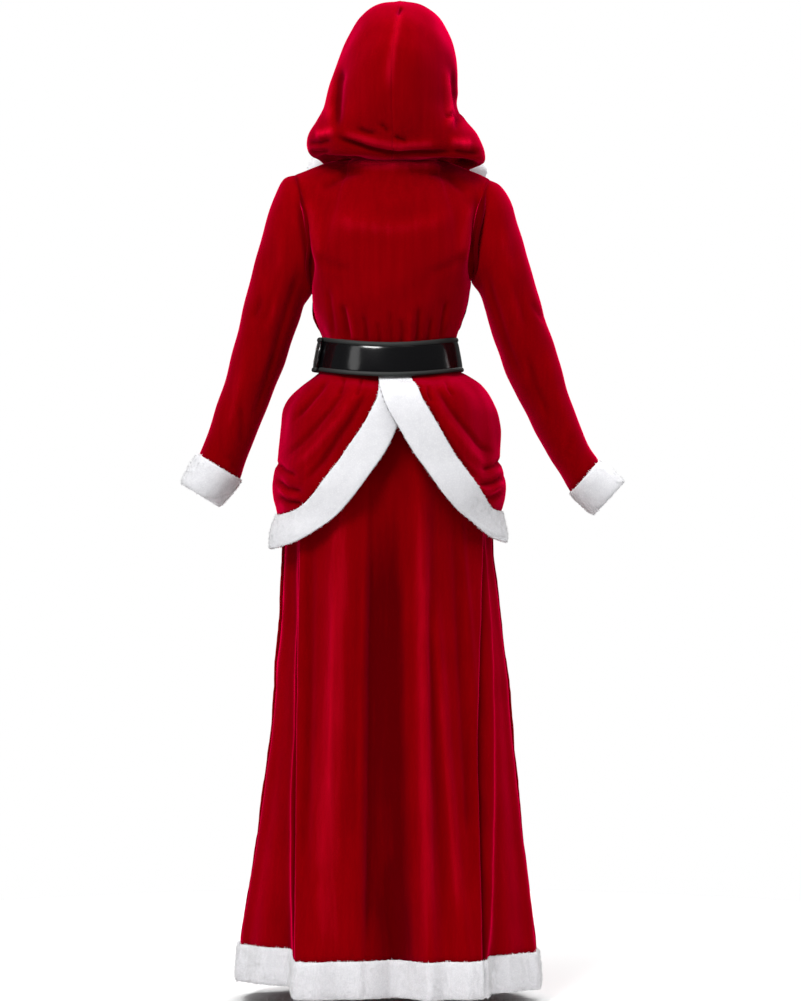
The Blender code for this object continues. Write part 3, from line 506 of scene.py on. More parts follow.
def skirt_grid(node, first, last):
    """Rows of one skirt panel, whose columns run along its laps, and the angles of its last row."""
    laps = SKIRT_LAPS if node == "skirt_back" else ()
    rows = []
    for z in np.linspace(SKIRT_TOP, SKIRT_BOTTOM, SKIRT_ROWS):
        knots = [first + SIDE_SEAM_TURN, *[lap_angle(lap[3], z) for lap in laps], last - SIDE_SEAM_TURN]
        stretches = [np.linspace(*ends, count) for *ends, count in zip(knots, knots[1:], SKIRT_COLUMNS[node])]
        angles = np.concatenate(stretches)
        row = skirt_points(angles, z)
        outward = skirt_points(angles, z, 1) - row
        for depth, reach, way, path in laps:
            edge = knots[1] if way < 0 else knots[2]
            away = np.abs(row[:, 0] - skirt_points(np.array([edge]), z)[0, 0])
            fall = np.where(under_lap(way), np.exp(-away / reach), 0) * lap_share(z)
            row = row - outward * (depth * fall)[:, None]
            row[:, 0] -= way * LAP_SLIDE * fall * np.exp(-away / LAP_SLIDE_REACH)
            is_edge = (np.abs(angles - edge) < LAP_ROLL_TURN) & ~under_lap(way)
            rolled = is_edge * np.exp(-((away / LAP_ROLL_REACH) ** 2)) * lap_share(z)
            row = row - outward * (LAP_ROLL * rolled)[:, None]
        lift = np.interp((angles + 180) % 360 - 180, HEM_LIFT["angle"], HEM_LIFT["lift"])
        lowness = np.clip((HEM_LIFT_FROM - z) / (HEM_LIFT_FROM - SKIRT_BOTTOM), 0, 1)
        row[:, 2] += lift * lowness**HEM_LIFT_POWER
        rows.append(row)
    return np.stack(rows), angles


def lap_shade(points):
    """Where the cloth beside each lap of the skirt's back lies in the lap's shade."""
    shade = np.zeros(points.shape[:2])
    for _, _, way, path in SKIRT_LAPS:
        away = np.abs(beside_lap(points, path))
        shade += under_lap(way) * np.exp(-away / LAP_SHADE_REACH) * lap_share(as_seen(points)[1])
    return shade


skirt_hems = {}
for node, first, last, creases in (
    ("skirt_back", -90, 90, SKIRT_BACK_CREASES),
    ("skirt_front", 90, 270, SKIRT_FRONT_CREASES),
):
    points, angles = skirt_grid(node, first, last)
    outward = np.stack([skirt_points(angles, z, 1) - skirt_points(angles, z) for z in points[:, 0, 2]])
    creased = crease_height(points, creases)
    points = points + outward * (creased + unevenness(points, seed=1, height=SKIRT_UNEVEN))[..., None]
    # Painted light: darker in the troughs and in a painted shadow beside each lap, lighter on the ridges
    painted_light = painted_fold_light(points, creased * SKIRT_PAINTED_LIGHT, ())
    if node == "skirt_back":
        painted_light = painted_light - LAP_SHADE * lap_shade(points)
    skirt_hems[node] = (points[-1], outward[-1])
    points = points + outward * seam_height(points, SIDES_AND_BOTTOM, SKIRT_SEAM_ROLL)[..., None]
    add_velour(node, points, SIDES_AND_BOTTOM, painted_light)

# Hem band
# A strip of white plush sewn edge to edge to each skirt panel, about six centimetres deep and softly
# rounded. The plush is a knit ground with a dense short pile, made here as a ground sheet and a piece of
# tufts that stand on it.
HEM_GAP = 0.2
HEM_DEPTH = 63.6
HEM_FLARE = 5.0
PLUSH_OUT = 7.0
PLUSH_IN = 4.0
PLUSH_ACROSS = (0.0, 0.07, 0.42, 0.85, 1.0, 0.85, 0.42, 0.07)
PLUSH_LIFT = (0.1, 0.75, 1.0, 0.8, 0.0, -0.8, -1.0, -0.75)
GROUND_SHARE = 0.6
TUFT_SPACING = 1.72
TUFT_INSIDE_SHARE = 0.3
TUFT_LENGTH = (1.9, 4.8)
TUFT_RADIUS = 0.88
PLUSH_FINER = 3

# How far tufts lean together in patches, spread, hang and stand up, how deep they root, and how soft they
# shade
TUFT_PATCH_RATE = 0.22
TUFT_PATCH_LEAN = 0.1
TUFT_SPREAD = 0.34
TUFT_DROOP = 0.25
TUFT_UPRIGHT = 0.5
TUFT_ROOT_DEPTH = 0.5
TUFT_SOFTNESS = 0.05

# Plush: white polyester pile about five millimetres long. Light scatters from fibre to fibre, so the shadows
# between the tufts fill up and the band looks even, soft and white. The ground sheet and the tufts' roots
# are painted a darker, cooler grey than the tips, as painted shade deep in the pile. Its fibres are too fine
# to show, so they are drawn as tufts and a grain about two millimetres wide.
plush, shader = new_material(
    "white_plush_pile",
    {
        "Roughness": 0.9,
        "Specular IOR Level": 0.0,
        "Sheen Weight": 0.3,
        "Sheen Roughness": 0.5,
        "Sheen Tint": linear("#FFFFFF"),
    },
)
place = add_node(plush, "ShaderNodeTexCoord").outputs["Object"]
pile_share = add_node(plush, "ShaderNodeAttribute", settings={"attribute_name": "pile_share"})
clumps = add_node(
    plush,
    "ShaderNodeTexNoise",
    values={"Scale": 1 / 0.009, "Detail": 2},
    links={"Vector": place},
)
clumps_and_root_shade = add_node(
    plush,
    "ShaderNodeMath",
    settings={"operation": "MULTIPLY_ADD", "use_clamp": True},
    values={1: 0.5},
    links={0: clumps.outputs["Fac"], 2: pile_share.outputs["Fac"]},
)
# Painted shade: the ground and the tufts' roots, at 0, take the darker, cooler grey; the tips are lighter
whites = add_node(plush, "ShaderNodeValToRGB", links={"Fac": clumps_and_root_shade.outputs["Value"]})
whites.color_ramp.elements[0].position = 0.1
whites.color_ramp.elements[0].color = linear("#D4D4D8")
whites.color_ramp.elements[1].position = 0.9
whites.color_ramp.elements[1].color = linear("#EFEFF1")
pile_grain = add_node(
    plush,
    "ShaderNodeTexNoise",
    values={"Scale": 1 / 0.0018, "Detail": 3, "Roughness": 0.7},
    links={"Vector": place},
)
pile_bump = add_node(
    plush,
    "ShaderNodeBump",
    values={"Strength": 0.4, "Distance": 0.001},
    links={"Height": pile_grain.outputs["Fac"]},
)
plush.node_tree.links.new(whites.outputs["Color"], shader.inputs["Base Color"])
plush.node_tree.links.new(pile_bump.outputs["Normal"], shader.inputs["Normal"])


def straight(seam, free):
    return lambda across: seam + (free - seam) * across


def plush_rings(base, outward, out=1.0, inside=1.0):
    """Rings of a plush band's ground, rounded and thicker than the velour.

    Base gives the points at a share of the band's width; out and inside thin the band on its two sides.
    """
    rings = []
    for across, lift in zip(PLUSH_ACROSS, PLUSH_LIFT):
        size = PLUSH_OUT * GROUND_SHARE * out if lift > 0 else PLUSH_IN * GROUND_SHARE * inside
        rings.append(base(across) + outward * np.reshape(size * lift, (-1, 1)))
    return np.stack(rings, 1)


def refine(points, rows, columns, around=False):
    """A finer grid on a smooth surface through the points of a coarse one."""

    def along(points, count, closed):
        last = len(points) if closed else len(points) - 1
        at = np.linspace(0, last, count, endpoint=not closed)
        low = np.minimum(at.astype(int), last - 1)
        t = (at - low).reshape(-1, *[1] * (points.ndim - 1))
        if not closed:
            points = np.concatenate([2 * points[:1] - points[1:2], points, 2 * points[-1:] - points[-2:-1]])
            low = low + 1
        before, start, end, after = (points[(low + shift) % len(points)] for shift in (-1, 0, 1, 2))
        twist = 3 * (start - end) + after - before
        bend = 2 * before - 5 * start + 4 * end - after + t * twist
        return start + 0.5 * t * (end - before + t * bend)

    tall = along(points, rows, False)
    return along(tall.swapaxes(0, 1), columns, around).swapaxes(0, 1)


def closed_body(name, rings, surface, around=False):
    """A body through rings of corners, closed by a face at both ends or into a ring of its own."""
    stations, corners = rings.shape[:2]
    faces = grid_faces(stations, corners, around, True).tolist()
    if not around:
        faces += [list(range(corners))[::-1], list(range((stations - 1) * corners, stations * corners))]
    made = mesh_object(name, rings, faces, surface)
    turned = bmesh.new()
    turned.from_mesh(made.data)
    bmesh.ops.recalc_face_normals(turned, faces=turned.faces)
    turned.to_mesh(made.data)
    turned.free()
    return made


def add_tufts(name, rings, seed, around=False):
    """Short pointed tufts all over a band of rings, denser outside, leaning together in soft patches."""
    random = np.random.default_rng(seed)
    faces = grid_faces(*rings.shape[:2], around, True)
    station, corner = np.divmod(faces[:, 0], rings.shape[1])
    quads = rings.reshape(-1, 3)[faces]
    facing = np.cross(quads[:, 2] - quads[:, 0], quads[:, 3] - quads[:, 1])
    is_outside = corner < rings.shape[1] // 2
    weight = np.linalg.norm(facing, axis=-1) / 2 * np.where(is_outside, 1, TUFT_INSIDE_SHARE)
    facing = unit(facing + 1e-12)
    facing *= np.sign((facing * (quads.mean(1) - rings.mean(1)[station])).sum(-1, keepdims=True))
    count = int(weight.sum() / TUFT_SPACING**2)
    chosen = random.choice(len(quads), count, p=weight / weight.sum())
    s, t = random.random((2, count, 1))
    quad = quads[chosen]
    root = (quad[:, 0] * (1 - s) + quad[:, 1] * s) * (1 - t) + (quad[:, 3] * (1 - s) + quad[:, 2] * s) * t
    out = facing[chosen]
    waves = random.normal(0, TUFT_PATCH_RATE, (3, 3))
    patch = np.stack([np.sin(root @ wave + shift) for wave, shift in zip(waves, (0, 2, 4))], -1)
    lean = out + TUFT_PATCH_LEAN * patch + random.normal(0, TUFT_SPREAD, (count, 3)) - (0, 0, TUFT_DROOP)
    lean = unit(lean)
    lean = unit(lean + out * np.clip(TUFT_UPRIGHT - (lean * out).sum(-1, keepdims=True), 0, None))
    length = TUFT_LENGTH[0] + (TUFT_LENGTH[1] - TUFT_LENGTH[0]) * random.random((count, 1)) ** 2
    aside = unit(np.cross(lean, random.normal(0, 1, (count, 3))))
    up = np.cross(lean, aside)
    turns = np.arange(3) * 2 * np.pi / 3
    circle = aside[:, None] * np.cos(turns)[:, None] + up[:, None] * np.sin(turns)[:, None]
    foot = root - out * TUFT_ROOT_DEPTH
    points = np.concatenate([foot[:, None] + circle * TUFT_RADIUS, (foot + lean * length)[:, None]], 1)
    pattern = ((2, 1, 0), (0, 1, 3), (1, 2, 3), (2, 0, 3))
    faces = (np.arange(count)[:, None, None] * 4 + np.array(pattern)).reshape(-1, 3)
    made = mesh_object(name, points, faces.tolist(), plush)
    # The tips are 1 and the roots 0, so the roots take the painted shade of the pile
    share = made.data.attributes.new("pile_share", "FLOAT", "POINT")
    share.data.foreach_set("value", np.tile((0, 0, 0, 1.0), count).astype(np.float32))
    soft = unit(np.repeat(out + TUFT_SOFTNESS * lean, 4, 0))
    made.data.normals_split_custom_set_from_vertices(soft.tolist())
    made.visible_shadow = False
    return made


def add_plush(node, rings, seed, around=False):
    """A plush band that stands for a CAD node: a ground sheet and the tufts on it."""
    ground = refine(rings, len(rings), rings.shape[1] * PLUSH_FINER, around=True)
    made = closed_body(node + "_ground", ground, plush, around)
    tufts = add_tufts(node + "_pile", ground, seed, around)
    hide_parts(node)


for seed, node in enumerate(("hem_band_back", "hem_band_front"), start=10):
    skirt = node.replace("hem_band", "skirt")
    seam, outward = skirt_hems[skirt]
    seam = seam - (0, 0, HEM_GAP)
    free = seam + outward * HEM_FLARE - (0, 0, HEM_DEPTH)
    rings = plush_rings(straight(seam, free), outward)
    add_plush(node, rings, seed)

# Bodice
# A front and a back panel of the same velour, sewn at the sides and shoulders, with a low V neckline at the
# front. The knit is drawn in at the waist, where it gathers above the belt, and strains softly round the
# armholes.
SLEEVE_STEPS = 18
NECK_STEPS = 7
SHOULDER_STEPS = 3
ARMHOLE_INSET = 12.0
ARMHOLE_INSET_FADE = 1.2
SLEEVE_DEPTH = {
    "half_depth": (62, 61, 60, 58, 55, 52, 50, 47, 45, 43, 40, 37),
    "forward": (0, 0, 0, 0, 0, 1, 3, 6, 10, 14, 19, 25),
}
SLEEVE_LEFT = {
    "outer_x": (168, 188, 203, 217, 232, 247, 262, 276, 290, 305, 320, 338),
    "outer_z": (-12, -22, -50, -90, -141, -200, -264, -316, -367, -415, -458, -500),
    "inner_x": (139, 146, 152, 156, 160, 167, 176, 188, 205, 224, 242, 265),
    "inner_z": (-225, -233, -240, -249, -262, -283, -310, -343, -386, -434, -483, -545),
    **SLEEVE_DEPTH,
}
SLEEVE_RIGHT = {
    "outer_x": (-172, -191, -205, -220, -236, -252, -270, -288, -304, -319, -337, -363),
    "outer_z": (-20, -30, -52, -92, -143, -199, -262, -319, -370, -418, -467, -513),
    "inner_x": (-141, -148, -154, -160, -165, -170, -179, -192, -212, -236, -267, -316),
    "inner_z": (-203, -212, -219, -230, -247, -270, -299, -334, -379, -428, -487, -567),
    **SLEEVE_DEPTH,
}
BODICE_RINGS = {
    "z": (-327, -299, -290, -281, -264, -246, -214),
    "half_width": (111.5, 111.5, 118.5, 126, 133.5, 137.5, 140),
    "centre_x": (2, 2, 2.6, 3, 4, 2.6, -1),
    "back": (89.5, 91, 95, 100, 106, 110, 112),
    "front": (90, 91, 94, 99, 108, 117, 124),
    "lowered": (0, 12, 12, 11, 7, 3, 0),
}
LOWERING_AT_FRONT = 0.2
NAPE = (-4, 58, 10)
NECK_SIDE_LEFT = (72, 4, 17)
NECK_SIDE_RIGHT = (-80, 4, 14)
V_POINT = (-4, -104, -88)
NECK_BEND_BACK = (14, 8)
NECK_BEND_FRONT = (10, 28)
SHOULDER_SLOPE_BACK = 0.5
SHOULDER_SLOPE_FRONT = 1.1
SHOULDER_ARCH = 3.0
BODICE_DEPTH = {
    "z": (-213, -180, -140, -100, -60, -25, 10),
    "back": (111, 113, 112, 108, 98, 82, 60),
    "front": (-124, -125, -119, -109, -98, -84, -60),
}
BODICE_GRID = (76, 120)
BODICE_RELAXED = 70
NECKLINE_FADE = 10.0
FLAT_SEAM_ROLL = 0.5
FLAT_SEAM_PUCKER = 0.3
BODICE_BACK_CREASES = (
    (-5.0, 4.5, 4.0, ((84, -236), (80, -262), (72, -312))),
    (3.2, 4.5, 4.5, ((74, -240), (68, -270), (62, -312))),
    (-4.0, 3.6, 4.2, ((48, -256), (44, -280), (43, -314))),
    (-3.0, 3.5, 3.5, ((22, -268), (19, -290), (19, -316))),
    (-2.6, 4.0, 3.4, ((2, -246), (-2, -280), (-4, -318))),
    (-3.6, 3.6, 4.0, ((-18, -262), (-20, -288), (-18, -318))),
    (2.6, 4.5, 4.5, ((-34, -250), (-34, -284), (-30, -318))),
    (-4.4, 4.0, 4.0, ((-50, -240), (-48, -276), (-44, -316))),
    (-3.2, 3.6, 4.4, ((-72, -258), (-68, -284), (-64, -312))),
    (-4.2, 4.4, 4.0, ((-98, -226), (-92, -262), (-84, -308))),
    (-3.4, 4.0, 5.0, ((112, -206), (104, -250), (98, -304))),
    (-6.0, 7.0, 11.0, ((166, -30), (156, -90), (146, -150), (134, -214))),
    (4.5, 12.0, 12.0, ((146, -50), (136, -110), (128, -170))),
    (-6.0, 11.0, 7.0, ((-160, -40), (-150, -96), (-144, -160), (-134, -214))),
    (4.5, 12.0, 12.0, ((-140, -56), (-132, -110), (-126, -170))),
    (-2.0, 8.0, 8.0, ((131, -148), (107, -170), (64, -180))),
    (-1.8, 8.0, 8.0, ((-138, -146), (-103, -170), (-60, -188))),
    (3.0, 16.0, 16.0, ((124, -74), (72, -100), (2, -108), (-68, -100), (-124, -74))),
    (-3.4, 6.5, 6.5, ((128, -39), (80, -13), (40, -2))),
    (-3.2, 6.5, 6.5, ((-138, -46), (-103, -20), (-62, -6))),
    (10.0, 9.0, 14.0, ((86, 4), (40, 4), (-10, 3), (-60, 2), (-94, 2))),
    (-5.0, 3.5, 4.5, ((96, 24), (60, 14), (0, 9), (-60, 8), (-100, 6))),
    (-4.0, 4.0, 4.5, ((-24, -4), (-56, -6), (-92, -10))),
)
BODICE_FRONT_CREASES = (
    (-4.8, 4.2, 4.2, ((79, -225), (80, -262), (76, -314))),
    (-3.8, 3.8, 4.2, ((46, -246), (44, -280), (42, -314))),
    (3.0, 4.5, 4.5, ((20, -250), (18, -284), (18, -316))),
    (-3.4, 3.8, 3.8, ((-7, -240), (-9, -276), (-10, -316))),
    (-3.8, 3.8, 4.2, ((-36, -250), (-33, -282), (-32, -316))),
    (-4.2, 4.2, 4.2, ((-86, -220), (-82, -262), (-80, -310))),
    (-3.2, 4.0, 5.0, ((107, -206), (102, -248), (98, -305))),
    (-5.5, 7.0, 11.0, ((160, -36), (150, -96), (142, -160))),
    (-5.5, 11.0, 7.0, ((-156, -40), (-148, -96), (-140, -160))),
    (-3.0, 7.0, 7.0, ((135, -122), (107, -136), (68, -144))),
    (-3.0, 7.0, 7.0, ((-138, -122), (-103, -136), (-68, -144))),
)


def lowering(angles):
    """How much of its lowering a ring takes at each angle: all at the centre back and little at the front."""
    level = np.cos(np.radians(angles))
    return level**2 * np.where(level > 0, 1, LOWERING_AT_FRONT)


def sleeve_rings(table, turns, inset=True):
    """Rings of a sleeve: turn 0 is on top, 90 at the back and 180 underneath."""
    turn = np.radians(turns)[None, :]
    column = {key: np.asarray(value, float)[:, None] for key, value in table.items()}
    middle_x = (column["outer_x"] + column["inner_x"]) / 2
    middle_z = (column["outer_z"] + column["inner_z"]) / 2
    x = middle_x + (column["outer_x"] - column["inner_x"]) / 2 * np.cos(turn)
    z = middle_z + (column["outer_z"] - column["inner_z"]) / 2 * np.cos(turn)
    y = column["half_depth"] * np.sin(turn) - column["forward"]
    if inset:
        share = np.exp(-np.arange(len(x)) / ARMHOLE_INSET_FADE)[:, None]
        x = x - np.sign(middle_x) * ARMHOLE_INSET * share * np.sin(turn) ** 2
    return np.stack([x, y, z], -1)


def neckline(side_point, end_point, steps, spread, belly):
    """Points from the neck side to the nape or the V's point, bent sideways by spread and out by belly."""
    t = np.linspace(0, 1, steps + 1)[:, None]
    side_point = np.asarray(side_point, float)
    end_point = np.asarray(end_point, float)
    points = side_point + (end_point - side_point) * t
    points[:, 0] += np.sign(side_point[0]) * spread * np.sin(np.pi * t[:, 0])
    points[:, 1] += np.sign(end_point[1]) * belly * np.sin(np.pi * t[:, 0])
    return points


def shoulder(tip, side_point):
    t = np.linspace(0, 1, SHOULDER_STEPS + 1)[:, None]
    points = np.asarray(tip, float) + (np.asarray(side_point, float) - tip) * t
    points[:, 2] += SHOULDER_ARCH * np.sin(np.pi * t[:, 0])
    return points


def bodice_panel(is_back):
    """Rows of one bodice panel from the waist to the shoulders, each from the right side to the left."""
    half_turns = np.linspace(180, 0, SLEEVE_STEPS // 2 + 1) * (1 if is_back else -1)
    edges = {}
    for side, table in (("right", SLEEVE_RIGHT), ("left", SLEEVE_LEFT)):
        first = {key: value[:1] for key, value in table.items()}
        edges[side] = sleeve_rings(first, half_turns)[0]
        edges[side + "_middle"] = sleeve_rings(first, np.array([90.0 if is_back else -90.0]))[0][0]
    bend = NECK_BEND_BACK if is_back else NECK_BEND_FRONT
    end = NAPE if is_back else V_POINT
    neck_right = neckline(NECK_SIDE_RIGHT, end, NECK_STEPS, *bend)
    neck_left = neckline(NECK_SIDE_LEFT, end, NECK_STEPS, *bend)
    tip_right = shoulder(edges["right"][-1], NECK_SIDE_RIGHT)
    tip_left = shoulder(edges["left"][-1], NECK_SIDE_LEFT)
    top = np.concatenate([tip_right, neck_right[1:], neck_left[:-1][::-1], tip_left[:-1][::-1]])
    across = np.linspace(-1, 1, len(top))
    angles = 90 * across if is_back else 180 - 90 * across
    rows = []
    for z, half_width, centre_x, back, front, lowered in zip(*BODICE_RINGS.values()):
        x, y, _ = ring(angles, half_width, back, front, centre_x)
        rows.append(np.stack([x, y, z - lowered * lowering(angles)], -1))
    tilt = np.array((edges["right"][0], edges["left"][0])) - rows[-1][[0, -1]]
    rows[-1] += tilt[0] + (tilt[1] - tilt[0]) * (np.sin(np.pi / 2 * across)[:, None] + 1) / 2
    depth = BODICE_DEPTH["back" if is_back else "front"]
    turn = np.pi / 2 * across
    low = rows[-1]
    share = (np.sin(turn)[:, None] + 1) / 2
    tips = top[0] + (top[-1] - top[0]) * share

    def raised(half_turn, right, left):
        """The row of the armhole's half turn, which runs from one edge point to the other."""
        risen = (1 - np.cos(np.radians(180 - abs(half_turn)))) / 2
        row = right + (left - right) * share
        row[:, 0] += risen**2 * (top - tips)[:, 0]
        row[:, 2] = low[:, 2] + (top[:, 2] - low[:, 2]) * risen
        row[:, 1] += (smooth(BODICE_DEPTH["z"], depth, row[:, 2]) - row[:, 1]) * np.cos(turn)
        return row

    half_way = 90 if is_back else -90
    slope = SHOULDER_SLOPE_BACK if is_back else SHOULDER_SLOPE_FRONT
    middle = raised(half_way, edges["right_middle"], edges["left_middle"])
    for step, half_turn in enumerate(half_turns[1:], 1):
        row = raised(half_turn, edges["right"][step], edges["left"][step])
        if abs(half_turn) < 90:
            rounding = np.sin(np.radians(abs(half_turn))) ** (1 + slope * np.cos(turn))
            row[:, 1] = top[:, 1] + (middle[:, 1] - top[:, 1]) * rounding
        rows.append(row)
    rows[-1] = top
    return np.stack(rows)


def relax(points, times):
    """Evens out the cloth along its length, with its edges held."""
    points = points.copy()
    for _ in range(times):
        points[1:-1, 1:-1] = (points[:-2, 1:-1] + 2 * points[1:-1, 1:-1] + points[2:, 1:-1]) / 4
    return points


back_panel = bodice_panel(True)
front_panel = bodice_panel(False)
for node, panel, creases in (
    ("bodice_back", back_panel, BODICE_BACK_CREASES),
    ("bodice_front", front_panel, BODICE_FRONT_CREASES),
):
    points = relax(refine(panel, *BODICE_GRID), BODICE_RELAXED)
    outward = outward_of(points)
    creased = crease_height(points, creases) * np.clip(edge_distance(points, "bottom") / NECKLINE_FADE, 0, 1)
    height = creased + unevenness(points, seed=2)
    height += seam_height(points, ("left", "right", "top"), FLAT_SEAM_ROLL, FLAT_SEAM_PUCKER)
    points = points + outward * height[..., None]
    # Painted light: darker in the troughs and beside the side seams, lighter on the ridges
    painted_light = painted_fold_light(points, creased, ("left", "right"))
    add_velour(node, points, ("left", "right", "top", "bottom"), painted_light)

# Sleeves
# Long straight velour sleeves set into the armholes, with the loose creases of a slight bend. Each is one
# tube sewn along its underside.
SLEEVE_GRID = (84, 72)
SLEEVE_CREASES = {"sleeve_left": (
    (-6, 5.2, 9.1, ((164, -38), (156, -100), (145, -164), (140, -205))),
    (3, 9.1, 9.1, ((187, -100), (194, -178), (215, -310))),
    (-3.6, 5.2, 6.5, ((159, -164), (177, -231), (200, -310), (220, -382))),
    (-3, 3.9, 5.2, ((226, -224), (234, -248), (247, -266))),
    (-3.3, 6.5, 5.2, ((201, -317), (220, -382), (245, -448))),
    (-3, 5.2, 5.2, ((264, -415), (259, -450), (264, -490))),
    (2.4, 7.8, 7.8, ((247, -301), (268, -388), (289, -476))),
    (-2.4, 3.9, 3.9, ((289, -497), (278, -514), (271, -528))),
    (-2.7, 6.5, 5.2, ((189, -164), (208, -231), (226, -284))),
), "sleeve_right": (
    (-6, 9.1, 5.2, ((-172, -30), (-159, -100), (-147, -164), (-140, -205))),
    (3, 9.1, 9.1, ((-196, -100), (-208, -178), (-229, -310))),
    (-3.6, 6.5, 5.2, ((-163, -164), (-180, -231), (-205, -310), (-233, -382))),
    (-3.3, 5.2, 6.5, ((-233, -310), (-254, -382), (-282, -448))),
    (-3, 3.9, 5.2, ((-243, -231), (-254, -252), (-271, -270))),
    (2.4, 7.8, 7.8, ((-266, -301), (-289, -388), (-320, -476))),
    (-2.7, 3.9, 3.9, ((-317, -462), (-313, -486), (-306, -508))),
    (-2.7, 5.2, 6.5, ((-201, -164), (-222, -231), (-243, -292))),
)}
SLEEVE_FRONT_CREASES = {"sleeve_left": (
    (-4.5, 5.2, 7.8, ((163, -47), (152, -117), (144, -187))),
    (-3.8, 5.2, 6.5, ((173, -231), (212, -242), (247, -262))),
    (-3, 5.2, 5.2, ((180, -262), (219, -284), (254, -298))),
    (2.4, 7.8, 7.8, ((233, -318), (264, -406), (285, -476))),
), "sleeve_right": (
    (-4.5, 7.8, 5.2, ((-168, -38), (-156, -117), (-144, -187))),
    (-3.8, 6.5, 5.2, ((-184, -231), (-226, -242), (-261, -262))),
    (-3, 5.2, 5.2, ((-194, -262), (-233, -284), (-268, -298))),
    (2.4, 7.8, 7.8, ((-252, -318), (-282, -406), (-306, -476))),
)}
FACING_FADE = 3.0


def two_sided(points, outward, behind, before):
    """Creases of the back and of the front, each faded out where the cloth faces the other way."""
    share = np.clip(outward[..., 1] * FACING_FADE + 0.5, 0, 1)
    return crease_height(points, behind) * share + crease_height(points, before) * (1 - share)


sleeve_turns = np.arange(SLEEVE_STEPS) * 360 / SLEEVE_STEPS
for node, table in (("sleeve_left", SLEEVE_LEFT), ("sleeve_right", SLEEVE_RIGHT)):
    points = refine(sleeve_rings(table, sleeve_turns), *SLEEVE_GRID, around=True)
    outward = outward_of(points, True)
    creased = two_sided(points, outward, SLEEVE_CREASES[node], SLEEVE_FRONT_CREASES[node])
    height = creased + unevenness(points, seed=3)
    height += seam_height(points, ("top", "bottom"), FLAT_SEAM_ROLL, FLAT_SEAM_PUCKER)
    points = points + outward * height[..., None]
    # Painted light: darker in the troughs and beside the armhole seam, lighter on the ridges
    painted_light = painted_fold_light(points, creased, ("top",))
    add_velour(node, points, ("top", "bottom"), painted_light, around=True)

# Cuffs
# A short tube of the same plush for each sleeve, about six centimetres deep and thicker than the velour.
# It is sewn edge to edge to the sleeve's end and closed by a seam underneath.
CUFF_LEFT = {
    "outer_x": (338, 368),
    "outer_z": (-500, -552),
    "inner_x": (265, 303.5),
    "inner_z": (-545, -591.5),
}
CUFF_RIGHT = {
    "outer_x": (-363, -409),
    "outer_z": (-513, -549.5),
    "inner_x": (-316, -357),
    "inner_z": (-567, -605.5),
}
CUFF_FORWARD = (25, 29)
CUFF_HALF_DEPTH = (37, 37)
CUFF_TURNS = 60

cuff_turns = np.arange(CUFF_TURNS) * 360 / CUFF_TURNS
for seed, (node, table) in enumerate((("cuff_left", CUFF_LEFT), ("cuff_right", CUFF_RIGHT)), start=20):
    whole = dict(table, half_depth=CUFF_HALF_DEPTH, forward=CUFF_FORWARD)
    seam, free = sleeve_rings(whole, cuff_turns, inset=False)
    rings = plush_rings(straight(seam, free), unit(seam - seam.mean(0)))
    add_plush(node, rings, seed, around=True)

# Hood
# Two shaped velour halves joined by a centre seam and sewn to the neckline. The hood stands up, and its
# slack sinks into a rounded lobe over each shoulder and into creases at the neck.
HOOD_ROWS = {
    "seam_x": (-4, -4, -4, -4, -4, -3, -2, -2, -3, -5, -8, -12, -16, -18),
    "seam_y": (58, 80, 100, 112, 120, 127, 132, 135, 134, 127, 110, 84, 55, 22),
    "seam_z": (10, 8, 14, 30, 50, 74, 100, 132, 166, 200, 232, 260, 279, 289),
    "side_x": (76, 112, 147, 155, 148, 132, 118, 112, 107, 100, 88, 70, 42, 0),
    "side_y": (4, 6, 8, 9, 9, 8, 6, 5, 2, 0, -4, -8, -12, -20),
    "side_z": (16, 27, 20, 36, 58, 80, 106, 136, 168, 200, 232, 263, 284, 290),
    "face_x": (0, 52, 97, 122, 122, 114, 103, 95, 90, 84, 73, 56, 32, 0),
    "face_y": (-102, -106, -92, -78, -78, -88, -99, -107, -112, -117, -120, -122, -123, -123),
    "face_z": (-88, -40, -6, 14, 38, 64, 94, 126, 156, 184, 208, 224, 233, 236),
    "lean": (-4, -9, -11, -8, -3, 0, -1, -6, -11, -13.5, -15, -14, -14, -18),
    "droop_right": (0, -2, 12, 9, 3, 0, 0, 0, 0, 0, 0, 0, 0, 0),
}
HOOD_BASE_TUCK = 8.0
NECK_CENTRE = (-4, -10)
NECK_TUCK = 2.0
NECK_FADE = 14.0
HOOD_PAINTED_LIGHT = 2.0
HOOD_SEAM_ROLL = 0.7
HOOD_BACK_FADE = 2.5
HOOD_BACK_SHARE = 0.6
HOOD_FRONT_POWER = 2.2
HOOD_GRID = (88, 76)
